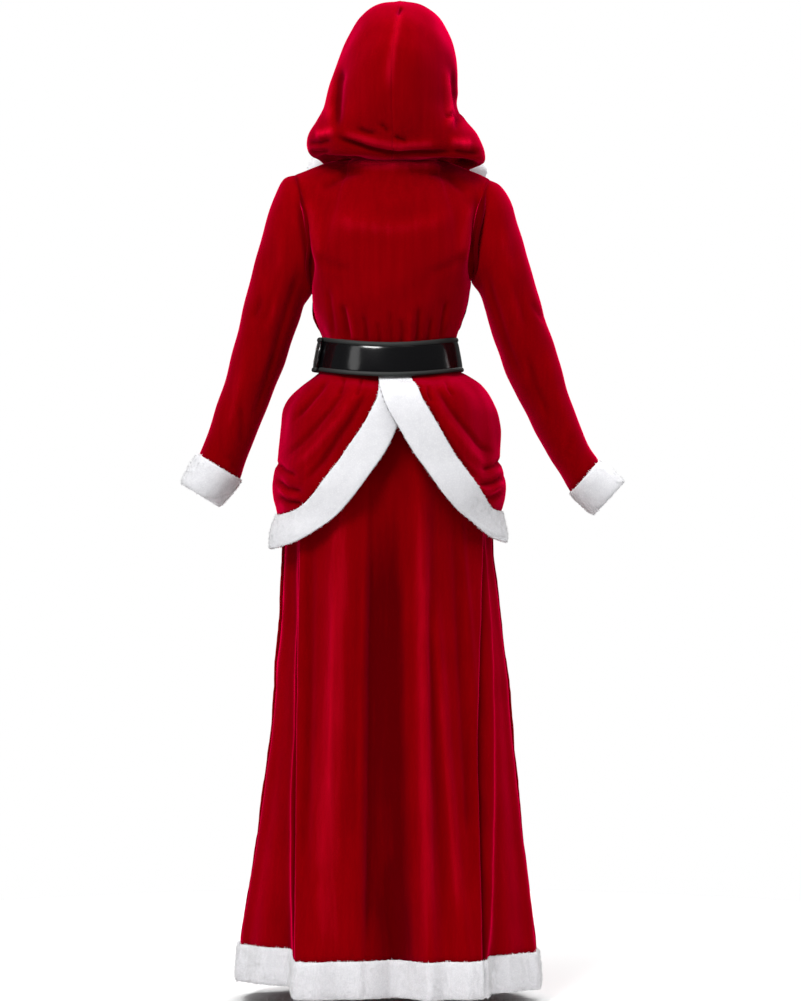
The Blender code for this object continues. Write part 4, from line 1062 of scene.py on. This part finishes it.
HOOD_CREASES = (
    (-5.0, 3.0, 4.0, ((-18, 284), (-15, 276), (-10, 266))),
    (3.0, 9.0, 7.0, ((-22, 285), (-12, 250), (-4, 205), (2, 168), (3, 119))),
    (-7.0, 5.0, 8.0, ((84, 180), (91, 150), (95, 110), (94, 62))),
    (4.0, 6.0, 5.0, ((88, 203), (100, 158), (108, 110), (110, 66))),
    (-6.0, 6.0, 4.0, ((-108, 190), (-112, 130), (-121, 98), (-113, 60))),
    (5.0, 6.0, 6.0, ((-96, 180), (-101, 130), (-106, 90), (-100, 62))),
    (-5.0, 3.5, 4.0, ((-95, 88), (-106, 92), (-118, 100))),
    (-6.5, 4.0, 5.5, ((100, 60), (84, 50), (63, 42), (37, 33), (-16, 23), (-60, 27), (-95, 28), (-118, 30))),
    (3.5, 8.0, 8.0, ((92, 64), (66, 54), (38, 46), (-14, 36), (-58, 40), (-94, 42))),
    (-4.0, 2.4, 2.8, ((98, 26), (40, 13), (-16, 9), (-60, 9), (-98, 8))),
    (-4.0, 3.0, 4.5, ((-4, 56), (-14, 51), (-30, 44))),
    (-3.5, 3.5, 4.0, ((22, 80), (12, 72), (2, 60))),
    (-4.0, 4.0, 5.0, ((60, 70), (44, 62), (24, 60))),
    (-4.5, 4.4, 5.4, ((150, 44), (126, 44), (100, 50))),
    (5.0, 8.5, 8.5, ((134, 57), (118, 60), (94, 66))),
    (-4.0, 4.0, 5.0, ((146, 26), (124, 26), (104, 30))),
    (-4.5, 4.4, 5.4, ((-107, 32), (-131, 28), (-158, 26))),
    (5.0, 8.5, 8.5, ((-100, 46), (-124, 43), (-144, 40))),
    (-4.0, 4.0, 5.0, ((-112, 14), (-134, 10), (-154, 8))),
)


def hood_rows(side):
    """Rows of one hood half from the neckline to the crown, each from the centre seam to the face edge."""
    is_left = side == "left"
    way = 1 if is_left else -1
    neck_side = NECK_SIDE_LEFT if is_left else NECK_SIDE_RIGHT
    base_back = neckline(neck_side, NAPE, NECK_STEPS, *NECK_BEND_BACK)[::-1]
    base_front = neckline(neck_side, V_POINT, NECK_STEPS, *NECK_BEND_FRONT)
    neck_columns = SHOULDER_STEPS + NECK_STEPS + way * np.arange(NECK_STEPS + 1)
    lift = [unit(panel[-1, neck_columns] - panel[-2, neck_columns]) for panel in (back_panel, front_panel)]
    lift = np.concatenate([lift[0], lift[1][::-1][1:]])
    base = np.concatenate([base_back, base_front[1:]]) - lift * HOOD_BASE_TUCK
    base[:, :2] -= unit(base[:, :2] - NECK_CENTRE) * NECK_TUCK
    column = {key: np.asarray(value, float)[1:, None] for key, value in HOOD_ROWS.items()}
    droop = column["droop_right"] * (0 if is_left else 1)
    side_x = column["lean"] + way * column["side_x"]
    face_x = column["lean"] + way * column["face_x"]
    side_z = column["side_z"] - droop
    face_z = column["face_z"] - droop / 2
    forward = np.linspace(0, 1, NECK_STEPS + 1)
    quarter = np.pi / 2 * forward
    back = (
        column["seam_x"] + (side_x - column["seam_x"]) * np.sin(quarter),
        column["side_y"] + (column["seam_y"] - column["side_y"]) * np.cos(quarter),
        side_z + (column["seam_z"] - side_z) * np.cos(quarter) ** 2,
    )
    front = (
        face_x + (side_x - face_x) * np.cos(quarter),
        column["side_y"] + (column["face_y"] - column["side_y"]) * forward,
        side_z + (face_z - side_z) * forward**HOOD_FRONT_POWER,
    )
    rows = np.concatenate([np.stack(back, -1), np.stack(front, -1)[:, 1:]], 1)
    return np.concatenate([base[None], rows])


for node, side in (("hood_left", "left"), ("hood_right", "right")):
    points = refine(hood_rows(side), *HOOD_GRID)
    outward = outward_of(points)
    behind = np.clip(outward[..., 1] * HOOD_BACK_FADE + HOOD_BACK_SHARE, 0, 1)
    above_seam = np.clip(edge_distance(points, "top") / NECK_FADE, 0, 1)
    creased = crease_height(points, HOOD_CREASES) * behind * above_seam
    rolled = seam_height(points, SIDES_AND_BOTTOM, HOOD_SEAM_ROLL, FLAT_SEAM_PUCKER)
    height = creased + (unevenness(points, seed=4) + rolled) * above_seam
    points = points + outward * height[..., None]
    # Painted light, twice as strong as on the bodice: darker in the creases, crimson on the ridges and lobes
    painted_light = painted_fold_light(points, creased * HOOD_PAINTED_LIGHT, ())
    add_velour(node, points, (*SIDES_AND_BOTTOM, "top"), painted_light)

# Hood trim
# One strip of the plush, five centimetres wide, sewn edge to edge all round the face opening of the hood.
# It stands forward round the opening and lies down on the front of the dress below, where its two ends
# meet at the point of the V.
HOOD_TRIM_WIDTH = 50.0
V_STAND_OFF = 2.5
V_FADE_STEPS = 3
V_INNER_SHARE = 0.1
HOOD_TRIM_V_TURN = (0.0, -0.5, -0.87)
HOOD_TRIM_TURN = {
    "step": (0, 1, 2, 3, 4, 5, 6, 8, 11, 13),
    "x": (0, 0.44, 0.68, 0.70, 0.44, 0.18, 0.04, -0.05, 0.0, 0),
    "y": (-0.50, -0.50, -0.52, -0.65, -0.88, -0.98, -1.0, -0.99, -0.95, -0.93),
    "z": (-0.87, -0.75, -0.56, -0.41, -0.24, -0.10, -0.05, -0.05, -0.25, -0.36),
}
HOOD_TRIM_FINER = 5
HOOD_TRIM_NORMAL = 10.0
SEAM_GAP = 0.35

left_edge = hood_rows("left")[:, -1]
right_edge = hood_rows("right")[:, -1]
seam = np.concatenate([left_edge, right_edge[::-1][1:]])
stations = np.arange(len(seam))
steps = np.arange(len(left_edge))
turn = np.stack([smooth(HOOD_TRIM_TURN["step"], HOOD_TRIM_TURN[axis], steps) for axis in "xyz"], -1)
turn = unit(np.concatenate([turn, (turn * (-1, 1, 1))[::-1][1:]]))
ahead = np.gradient(seam, axis=0)
turn = unit(turn - ahead * (turn * ahead).sum(-1, keepdims=True) / (ahead * ahead).sum(-1, keepdims=True))
turn[0] = turn[-1] = unit(np.array(HOOD_TRIM_V_TURN))
outward = -unit(np.cross(ahead, turn))
outward[0] = outward[-1] = unit(np.array((0, HOOD_TRIM_V_TURN[2], -HOOD_TRIM_V_TURN[1])))
seam = seam + turn * SEAM_GAP
seam[0, 0] += SEAM_GAP
seam[-1, 0] -= SEAM_GAP
from_point = np.minimum(stations, stations[::-1])
inner_share = np.clip(from_point / V_FADE_STEPS, V_INNER_SHARE, 1)
seam = seam + outward * (V_STAND_OFF * np.clip(1 - from_point / V_FADE_STEPS, 0, 1))[:, None]
count = (len(seam) - 1) * HOOD_TRIM_FINER + 1
both = np.stack([seam, seam + turn * HOOD_TRIM_WIDTH, seam + outward * HOOD_TRIM_NORMAL], 1)
both = refine(both, count, 3)
fine_share = np.interp(np.linspace(0, stations[-1], count), stations, inner_share)
rings = plush_rings(straight(both[:, 0], both[:, 1]), unit(both[:, 2] - both[:, 0]), inside=fine_share)
add_plush("hood_trim", rings, seed=30)

# Peplum
# Two puffed velour halves, gathered into the waist seam under the belt and ruched up at the sides, where
# their creases fan out. Each runs from the centre back to the centre front, and the right half laps over
# the left.
NORMAL_STEP = 2.0
PEPLUM_PROFILE = {
    "z": (-346, -357.5, -363, -373, -390, -420, -452, -490, -515, -532, -560, -580, -602, -640, -670),
    "half_width": (120, 122.5, 132, 148, 165, 184, 190, 192, 194, 199, 203.5, 202, 197, 206, 207),
    "back": (94.5, 98.5, 109, 125, 138, 147, 152, 156, 158, 160, 162, 162, 162, 163, 163),
    "front": (94.5, 97, 105, 117, 130, 140, 144, 147, 149, 151, 152, 152, 152, 153, 153),
    "lowered": (12, 13.5, 16, 14, 8, 3, 0, 0, 0, 0, 0, 0, 0, 0, 0),
    "centre_x": (2, 2, 1, 0, 0, 1, 1.5, 3, 3, 3, 3, 3, 3, 4, 5),
    "plush_share": (0.2, 0.22, 0.25, 0.45, 0.8, 1, 1, 1, 1, 1, 1, 1, 1, 1, 1),
}
PEPLUM_EDGE_LEFT = {
    "seam_angle": (9, 8.4, 8.2, 14, 22, 31, 42, 56, 74, 90),
    "seam_z": (-346, -370, -404, -451, -491, -533, -576, -598, -606, -607),
    "free_angle": (-18, -11, -7, -0.5, 8.5, 18.5, 32.5, 49, 70, 90),
    "free_z": (-346, -372, -420, -482, -530, -577, -620, -650, -663, -664),
}
PEPLUM_EDGE_RIGHT = {
    "seam_angle": (-19, -16.5, -17, -22, -31, -40, -52, -64, -78, -90),
    "seam_z": (-346, -370, -403, -440, -489, -533, -571, -594, -600, -600),
    "free_angle": (9, 7.5, 0.5, -7, -17, -27, -41, -56, -74, -90),
    "free_z": (-346, -372, -428, -472, -526, -574, -614, -641, -652, -653),
}
PEPLUM_LAP = 12.5
LAP_EXTRA = 0.06
LAP_FADE_START = 34.0
LAP_FADE_END = 62.0
PEPLUM_CORNER_SHARE = 1 / 9
PEPLUM_FIRST_ROWS = (-346, -357.5, -364)
PEPLUM_DOWN_POWER = 1.1
PEPLUM_ROUND_STEPS = 20
PEPLUM_DOWN_STEPS = 8
PEPLUM_GRID = (74, 136)
PEPLUM_SEAM_ROLL = 1.2
PEPLUM_SEAM_PUCKER = 0.6
PEPLUM_CREASES = {"peplum_left": (
    (-4.8, 3.9, 7.8, ((33, -371), (72, -441), (121, -511), (159, -556))),
    (-3.8, 3.9, 6.5, ((68, -368), (107, -424), (159, -483), (187, -508))),
    (3.8, 7.8, 7.8, ((51, -371), (89, -441), (138, -497), (173, -532))),
    (-4.6, 3.9, 5.2, ((107, -368), (138, -402), (173, -448))),
    (-5.7, 3.9, 3.9, ((201, -514), (187, -528), (163, -539))),
    (-5.7, 3.9, 3.9, ((205, -542), (184, -560), (152, -567))),
    (-5.7, 3.9, 3.9, ((205, -574), (180, -584), (149, -588))),
    (3.8, 3.9, 3.9, ((203, -556), (180, -574), (152, -578))),
    (-3.8, 2.6, 2.6, ((80, -366), (84, -382), (93, -399))),
    (-3.8, 2.6, 2.6, ((51, -366), (54, -385), (61, -402))),
), "peplum_right": (
    (-4.8, 7.8, 3.9, ((-47, -380), (-82, -450), (-124, -514), (-166, -556))),
    (-3.8, 6.5, 3.9, ((-72, -371), (-112, -432), (-152, -483), (-184, -504))),
    (3.8, 7.8, 7.8, ((-60, -374), (-96, -441), (-138, -497), (-173, -528))),
    (-4.8, 2.6, 2.6, ((-51, -378), (-51, -394), (-54, -410))),
    (-4.8, 2.6, 2.6, ((-65, -378), (-66, -396), (-72, -413))),
    (-5.7, 3.9, 3.9, ((-196, -508), (-180, -522), (-156, -528))),
    (-5.7, 3.9, 3.9, ((-200, -536), (-180, -550), (-149, -556))),
    (-5.7, 3.9, 3.9, ((-200, -564), (-177, -576), (-145, -578))),
    (3.8, 3.9, 3.9, ((-198, -550), (-177, -564), (-149, -567))),
    (-3.8, 2.6, 2.6, ((-96, -368), (-100, -385), (-110, -402))),
)}


def puffed_points(angles, z):
    """Points on the puffed surface at an angle and a height of its profile."""
    x, y, _ = ring(angles, *[smooth(PEPLUM_PROFILE["z"], PEPLUM_PROFILE[name], z) for name in RING_SIZES])
    lowered = smooth(PEPLUM_PROFILE["z"], PEPLUM_PROFILE["lowered"], z) * lowering(angles)
    return np.stack([x, y, z - lowered], -1)


def peplum_points(angles, z, lap=0.0):
    """Points on the puffed surface, lifted along its normal by lap where one half lies over the other."""
    angles = np.asarray(angles, float)
    z = np.clip(np.asarray(z, float), PEPLUM_PROFILE["z"][-1] + NORMAL_STEP, PEPLUM_PROFILE["z"][0])
    below = puffed_points(angles, z - NORMAL_STEP)
    here = puffed_points(angles, z)
    beside = puffed_points(angles + 1, z)
    outward = unit(np.cross(here - below, beside - here))
    share = smooth(PEPLUM_PROFILE["z"], PEPLUM_PROFILE["plush_share"], z)
    from_back = np.abs((angles + 180) % 360 - 180)
    from_middle = np.minimum(from_back, 180 - from_back)
    near = np.clip((LAP_FADE_END - from_middle) / (LAP_FADE_END - LAP_FADE_START), 0, 1)
    return here + outward * (lap * (share + LAP_EXTRA) * ease(near))[..., None]


def peplum_edge(table, kind, way, at):
    """Angle and height of the seam or the free edge at a share from the centre back to the centre front."""
    stations = np.linspace(0, 0.5, len(table["seam_angle"]))
    folded = np.where(at > 0.5, 1 - at, at)
    angle = smooth(stations, table[kind + "_angle"], folded)
    angle = np.where(at > 0.5, way * 180 - angle, angle)
    return angle, smooth(stations, table[kind + "_z"], folded)


def peplum_cut(table, way):
    """Angles and heights of a half's rows, from the waist down to its plush."""
    share = np.linspace(0, 1, PEPLUM_ROUND_STEPS + 1)
    corner = PEPLUM_CORNER_SHARE
    low_angle, low_z = peplum_edge(table, "seam", way, corner + (1 - 2 * corner) * share)
    first_z = np.array(PEPLUM_FIRST_ROWS)[:, None] + 0 * share
    down = np.linspace(0, 1, PEPLUM_DOWN_STEPS + 1)[1:, None] ** PEPLUM_DOWN_POWER
    heights = np.concatenate([first_z, first_z[-1] + (low_z - first_z[-1]) * down])
    near_angle = smooth(table["seam_z"][:4], table["seam_angle"][:4], heights[:, 0])
    far_angle = way * 180 - near_angle
    top_angle = near_angle[0] + (far_angle[0] - near_angle[0]) * share
    v = np.linspace(0, 1, len(heights))[:, None]
    sides = near_angle[:, None] * (1 - share) + far_angle[:, None] * share
    corners = sides[0] * (1 - v) + sides[-1] * v
    angles = top_angle * (1 - v) + low_angle * v + sides - corners
    return np.stack([angles, heights], -1)


PEPLUM_HALVES = (
    ("left", PEPLUM_EDGE_LEFT, 1, 0.0),
    ("right", PEPLUM_EDGE_RIGHT, -1, PEPLUM_LAP),
)
# The front's creases repeat the back's, with the reaches on their two sides swapped
for side, table, way, lap in PEPLUM_HALVES:
    node = "peplum_" + side
    spread = refine(peplum_cut(table, way), *PEPLUM_GRID)
    points = peplum_points(spread[..., 0], spread[..., 1], lap)
    outward = outward_of(points)
    swapped = [(height, minus, plus, path) for height, plus, minus, path in PEPLUM_CREASES[node]]
    creased = two_sided(points, outward, PEPLUM_CREASES[node], swapped)
    rolled = seam_height(points, SIDES_AND_BOTTOM, PEPLUM_SEAM_ROLL, PEPLUM_SEAM_PUCKER)
    points = points + outward * (creased + unevenness(points, seed=5) + rolled)[..., None]
    # Painted light: darker in the troughs, lighter on the ridges
    painted_light = painted_fold_light(points, creased, ())
    add_velour(node, points, SIDES_AND_BOTTOM, painted_light)

# Peplum edging
# A wide band of the same plush, sewn edge to edge all along the free edge of each peplum half. It runs from
# the waist at the centre back, round the side and up to the waist at the front, and keeps the puffed edge
# round.
PEPLUM_TRIM_STEPS = 150
TRIM_GAP = 0.75

for seed, (side, table, way, lap) in enumerate(PEPLUM_HALVES, start=40):
    at = np.linspace(0, 1, PEPLUM_TRIM_STEPS + 1)
    seam_angle, seam_z = peplum_edge(table, "seam", way, at)
    free_angle, free_z = peplum_edge(table, "free", way, at)

    def on_surface(across):
        angles = seam_angle + (free_angle - seam_angle) * across
        return peplum_points(angles, seam_z + (free_z - seam_z) * across, lap) + beside

    beside = 0.0
    beside = unit(on_surface(0.2) - on_surface(0.0)) * TRIM_GAP
    ahead = unit(np.gradient(on_surface(0.5), axis=0))
    outward = unit(np.cross(ahead, on_surface(0.6) - on_surface(0.4))) * -way
    thickness = smooth(PEPLUM_PROFILE["z"], PEPLUM_PROFILE["plush_share"], (seam_z + free_z) / 2)
    rings = plush_rings(on_surface, outward, thickness, thickness)
    add_plush("peplum_trim_" + side, rings, seed)

# Belt
# A strap of glossy black PVC between two matt woven bindings, fastened in front and lapped on the dress's
# left. The film over the strap's foam core takes soft dents, so its reflections waver.
BELT_TOP_Z = -297.0
BELT_HEIGHT = 60.0
BELT_LOWERED = 12.0
BELT_TOP_HALF = (113, 93.5, 92.5)
BELT_BOTTOM_HALF = (124, 106.5, 106.5)
BELT_CENTRE_X = 2.0
STRAP_THICKNESS = 4.6
BINDING_HEIGHT = 8.0
BINDING_THICKNESS = 6.4
BELT_START = 170.0
BELT_END = -287.0
LAP_FROM = -158.0
LAP_TO = -188.0
LAP_RISE = 7.6
BELT_STATIONS = 220
STRAP_ROUND = 0.7
STRAP_ROUND_POWER = 0.5
STRAP_ROUND_STEPS = 13
STRAP_CORNER = 0.5
STRAP_CORNER_SHARE = 0.02
STRAP_TUCK_SHARE = 0.01
BINDING_CORNERS = 16
BINDING_ROUND = 0.48


def belt_points(run, down, out):
    """Points on the belt at an angle, at a share of its height and at a distance from its inner side."""
    out = out + LAP_RISE * ease(np.clip((run - LAP_FROM) / (LAP_TO - LAP_FROM), 0, 1))
    sizes = [top + (bottom - top) * down for top, bottom in zip(BELT_TOP_HALF, BELT_BOTTOM_HALF)]
    x, y, outward = ring(run, *sizes, BELT_CENTRE_X)
    z = BELT_TOP_Z - BELT_HEIGHT * down - BELT_LOWERED * lowering(run)
    return np.stack([x + outward[:, 0] * out, y + outward[:, 1] * out, z], -1)


def add_belt_part(node, corners, surface):
    """A closed body swept along the belt through corners, each a share of its height and a distance out."""
    run = np.linspace(BELT_START, BELT_END, BELT_STATIONS)
    rings = np.stack([belt_points(run, down, out) for down, out in corners], 1)
    made = closed_body(node + "_piece", rings, surface)
    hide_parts(node)
    return made


# Gloss PVC: a smooth black film over a foam core, whose soft dents, about three centimetres wide, bend the
# reflections.
pvc, shader = new_material("gloss_pvc", {"Base Color": linear("#09090B"), "Roughness": 0.16})
place = add_node(pvc, "ShaderNodeTexCoord").outputs["Object"]
dents = add_node(pvc, "ShaderNodeTexNoise", values={"Scale": 1 / 0.03, "Detail": 2}, links={"Vector": place})
dent_bump = add_node(
    pvc,
    "ShaderNodeBump",
    values={"Strength": 0.2, "Distance": 0.002},
    links={"Height": dents.outputs["Fac"]},
)
pvc.node_tree.links.new(dent_bump.outputs["Normal"], shader.inputs["Normal"])

# Woven binding: matt black tape whose threads break up the light. They are drawn about a millimetre wide,
# twice as coarse as they are, so that they show.
tape, shader = new_material("woven_binding", {"Base Color": linear("#191D1C"), "Roughness": 0.7})
place = add_node(tape, "ShaderNodeTexCoord").outputs["Object"]
weave = add_node(
    tape,
    "ShaderNodeTexNoise",
    values={"Scale": 1 / 0.0012, "Detail": 1},
    links={"Vector": place},
)
weave_bump = add_node(
    tape,
    "ShaderNodeBump",
    values={"Strength": 0.4, "Distance": 0.0005},
    links={"Height": weave.outputs["Fac"]},
)
tape.node_tree.links.new(weave_bump.outputs["Normal"], shader.inputs["Normal"])

binding_share = BINDING_HEIGHT / BELT_HEIGHT
edge = binding_share - STRAP_TUCK_SHARE
corner_out = STRAP_THICKNESS - STRAP_CORNER
middle = 1 - 2 * edge - 2 * STRAP_CORNER_SHARE
strap_corners = [(edge, 0.0), (edge, corner_out)]
for share in np.linspace(0, 1, STRAP_ROUND_STEPS):
    rounded = STRAP_THICKNESS + STRAP_ROUND * np.sin(np.pi * share) ** STRAP_ROUND_POWER
    strap_corners.append((edge + STRAP_CORNER_SHARE + middle * share, rounded))
strap_corners += [(1 - edge, corner_out), (1 - edge, 0.0)]
strap = add_belt_part("belt_strap", strap_corners, pvc)
for node, top in (("belt_binding_top", 0.0), ("belt_binding_bottom", 1 - binding_share)):
    bead = []
    for turn in np.arange(BINDING_CORNERS) * 2 * np.pi / BINDING_CORNERS:
        down = top + binding_share * (0.5 + 0.5 * np.cos(turn))
        bead.append((down, BINDING_THICKNESS * (0.5 + BINDING_ROUND * np.sin(turn))))
    binding = add_belt_part(node, bead, tape)

# Buckle and eyelets
# A plain frame and two prongs of nickel-plated steel, which pass through the lapped end of the strap, their
# edges lightly rounded. The tail carries two rows of pressed nickel eyelets, six to a row.
BUCKLE_EDGE = 0.6
EYELET_RUNS = (-276, -262, -248, -234, -220, -206)
EYELET_SHARES = (0.32, 0.68)
EYELET_RADIUS = 2.7
EYELET_WIRE = 0.8
EYELET_FLATNESS = 0.7
EYELET_SIDES = 20
STEP_ALONG = 0.5
STEP_DOWN = 0.02
WIRE_SIDES = 8
SAME_POINT = 0.00001
FLAT_TURN = np.radians(1)

# Nickel plate: a bright warm grey metal whose polish is broken by fine scuffs a few millimetres long.
nickel, shader = new_material("nickel_plate", {"Base Color": linear("#D8D6D2"), "Metallic": 1.0})
place = add_node(nickel, "ShaderNodeTexCoord").outputs["Object"]
scuffs = add_node(
    nickel,
    "ShaderNodeTexNoise",
    values={"Scale": 1 / 0.003, "Detail": 3},
    links={"Vector": place},
)
polish = add_node(
    nickel,
    "ShaderNodeMapRange",
    values={"From Min": 0.3, "From Max": 0.7, "To Min": 0.16, "To Max": 0.32},
    links={"Value": scuffs.outputs["Fac"]},
)
nickel.node_tree.links.new(polish.outputs["Result"], shader.inputs["Roughness"])

for node in ("buckle_frame", "buckle_prong_upper", "buckle_prong_lower"):
    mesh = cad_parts[node].data.copy()
    shape = bmesh.new()
    shape.from_mesh(mesh)
    bmesh.ops.remove_doubles(shape, verts=shape.verts, dist=SAME_POINT)
    bmesh.ops.dissolve_limit(shape, angle_limit=FLAT_TURN, verts=shape.verts, edges=shape.edges)
    shape.to_mesh(mesh)
    shape.free()
    mesh.materials.clear()
    mesh.materials.append(nickel)
    made = bpy.data.objects.new(node + "_piece", mesh)
    bpy.context.scene.collection.objects.link(made)
    rounding = made.modifiers.new("Rounding", "BEVEL")
    rounding.width = BUCKLE_EDGE * MM
    rounding.segments = 2
    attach(made, "root")
    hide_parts(node)

bpy.ops.mesh.primitive_torus_add(
    major_radius=EYELET_RADIUS * MM,
    minor_radius=EYELET_WIRE * MM,
    major_segments=EYELET_SIDES,
    minor_segments=WIRE_SIDES,
)
eyelet = bpy.context.object
rings = bmesh.new()
for run in EYELET_RUNS:
    for share in EYELET_SHARES:
        spot = belt_points(np.array([run, run + STEP_ALONG]), share, STRAP_THICKNESS + STRAP_ROUND)
        below = belt_points(np.array([run]), share + STEP_DOWN, STRAP_THICKNESS + STRAP_ROUND)
        across = unit(spot[1] - spot[0])
        down = unit(below[0] - spot[0])
        out = np.cross(across, down)
        turned = Matrix(np.column_stack([across, down, out * EYELET_FLATNESS]).tolist()).to_4x4()
        turned.translation = spot[0] * MM
        first = len(rings.verts)
        rings.from_mesh(eyelet.data)
        rings.verts.ensure_lookup_table()
        bmesh.ops.transform(rings, matrix=turned, verts=rings.verts[first:])
bmesh.ops.recalc_face_normals(rings, faces=rings.faces)
rings.to_mesh(eyelet.data)
rings.free()
eyelet.name = "belt_eyelets"
eyelet.data.materials.append(nickel)
eyelet.data.shade_smooth()
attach(eyelet, "root")

# Floor and light
# A plain pale disc of studio paper lies just under the hem, in a plain white surround. Soft rectangular
# lights stand high on the camera's side, overhead, at both sides and high before the front. None of this
# belongs to the dress.
FLOOR_Z = -1.456
FLOOR_RADIUS = 1.7
FLOOR_SIDES = 96
WALL_STRENGTH = {"on_cloth": 0.31, "in_gloss": 0.1, "behind": 1.0}
LIGHT_TARGET = (0, 0, -0.5)
LIGHTS = (
    ("key", (1.5, 2.7, 3.0), 1.5, 1.5, 172),
    ("overhead", (0.0, 0.4, 3.0), 2.6, 2.6, 80),
    ("left_strip", (2.36, 1.85, 0.70), 0.8, 2.4, 13),
    ("right_strip", (-2.9, -0.5, 0.55), 0.5, 2.4, 14),
    ("right_fill", (-3.4, 1.5, 1.9), 1.4, 1.4, 34),
    ("front_key", (-1.4, -2.6, 2.8), 2.0, 2.0, 110),
)

paper, shader = new_material("studio_paper", {"Base Color": linear("#F4F4F4"), "Roughness": 0.9})
bpy.ops.mesh.primitive_circle_add(
    vertices=FLOOR_SIDES,
    radius=FLOOR_RADIUS,
    fill_type="NGON",
    location=(0, 0, FLOOR_Z),
)
floor = bpy.context.object
floor.name = "floor"
floor.data.materials.append(paper)

world = bpy.data.worlds.new("surround")
world.use_nodes = True
bpy.context.scene.world = world
rays = add_node(world, "ShaderNodeLightPath").outputs
walls = {}
for name, strength in WALL_STRENGTH.items():
    values = {"Color": (1, 1, 1, 1), "Strength": strength}
    walls[name] = add_node(world, "ShaderNodeBackground", values=values).outputs["Background"]
shine_links = {"Fac": rays["Is Glossy Ray"], 1: walls["on_cloth"], 2: walls["in_gloss"]}
shine = add_node(world, "ShaderNodeMixShader", links=shine_links).outputs["Shader"]
seen_links = {"Fac": rays["Is Camera Ray"], 1: shine, 2: walls["behind"]}
seen = add_node(world, "ShaderNodeMixShader", links=seen_links).outputs["Shader"]
world.node_tree.links.new(seen, world.node_tree.nodes["World Output"].inputs["Surface"])

for name, place, width, height, power in LIGHTS:
    lamp = bpy.data.objects.new(name, bpy.data.lights.new(name, "AREA"))
    lamp.data.shape = "RECTANGLE"
    lamp.data.size = width
    lamp.data.size_y = height
    lamp.data.energy = power
    lamp.location = place
    lamp.visible_glossy = name != "right_fill"
    x, y, z = np.array(LIGHT_TARGET) - place
    lamp.rotation_euler = (np.arctan2(np.hypot(x, y), -z), 0, np.arctan2(-x, y))
    bpy.context.scene.collection.objects.link(lamp)
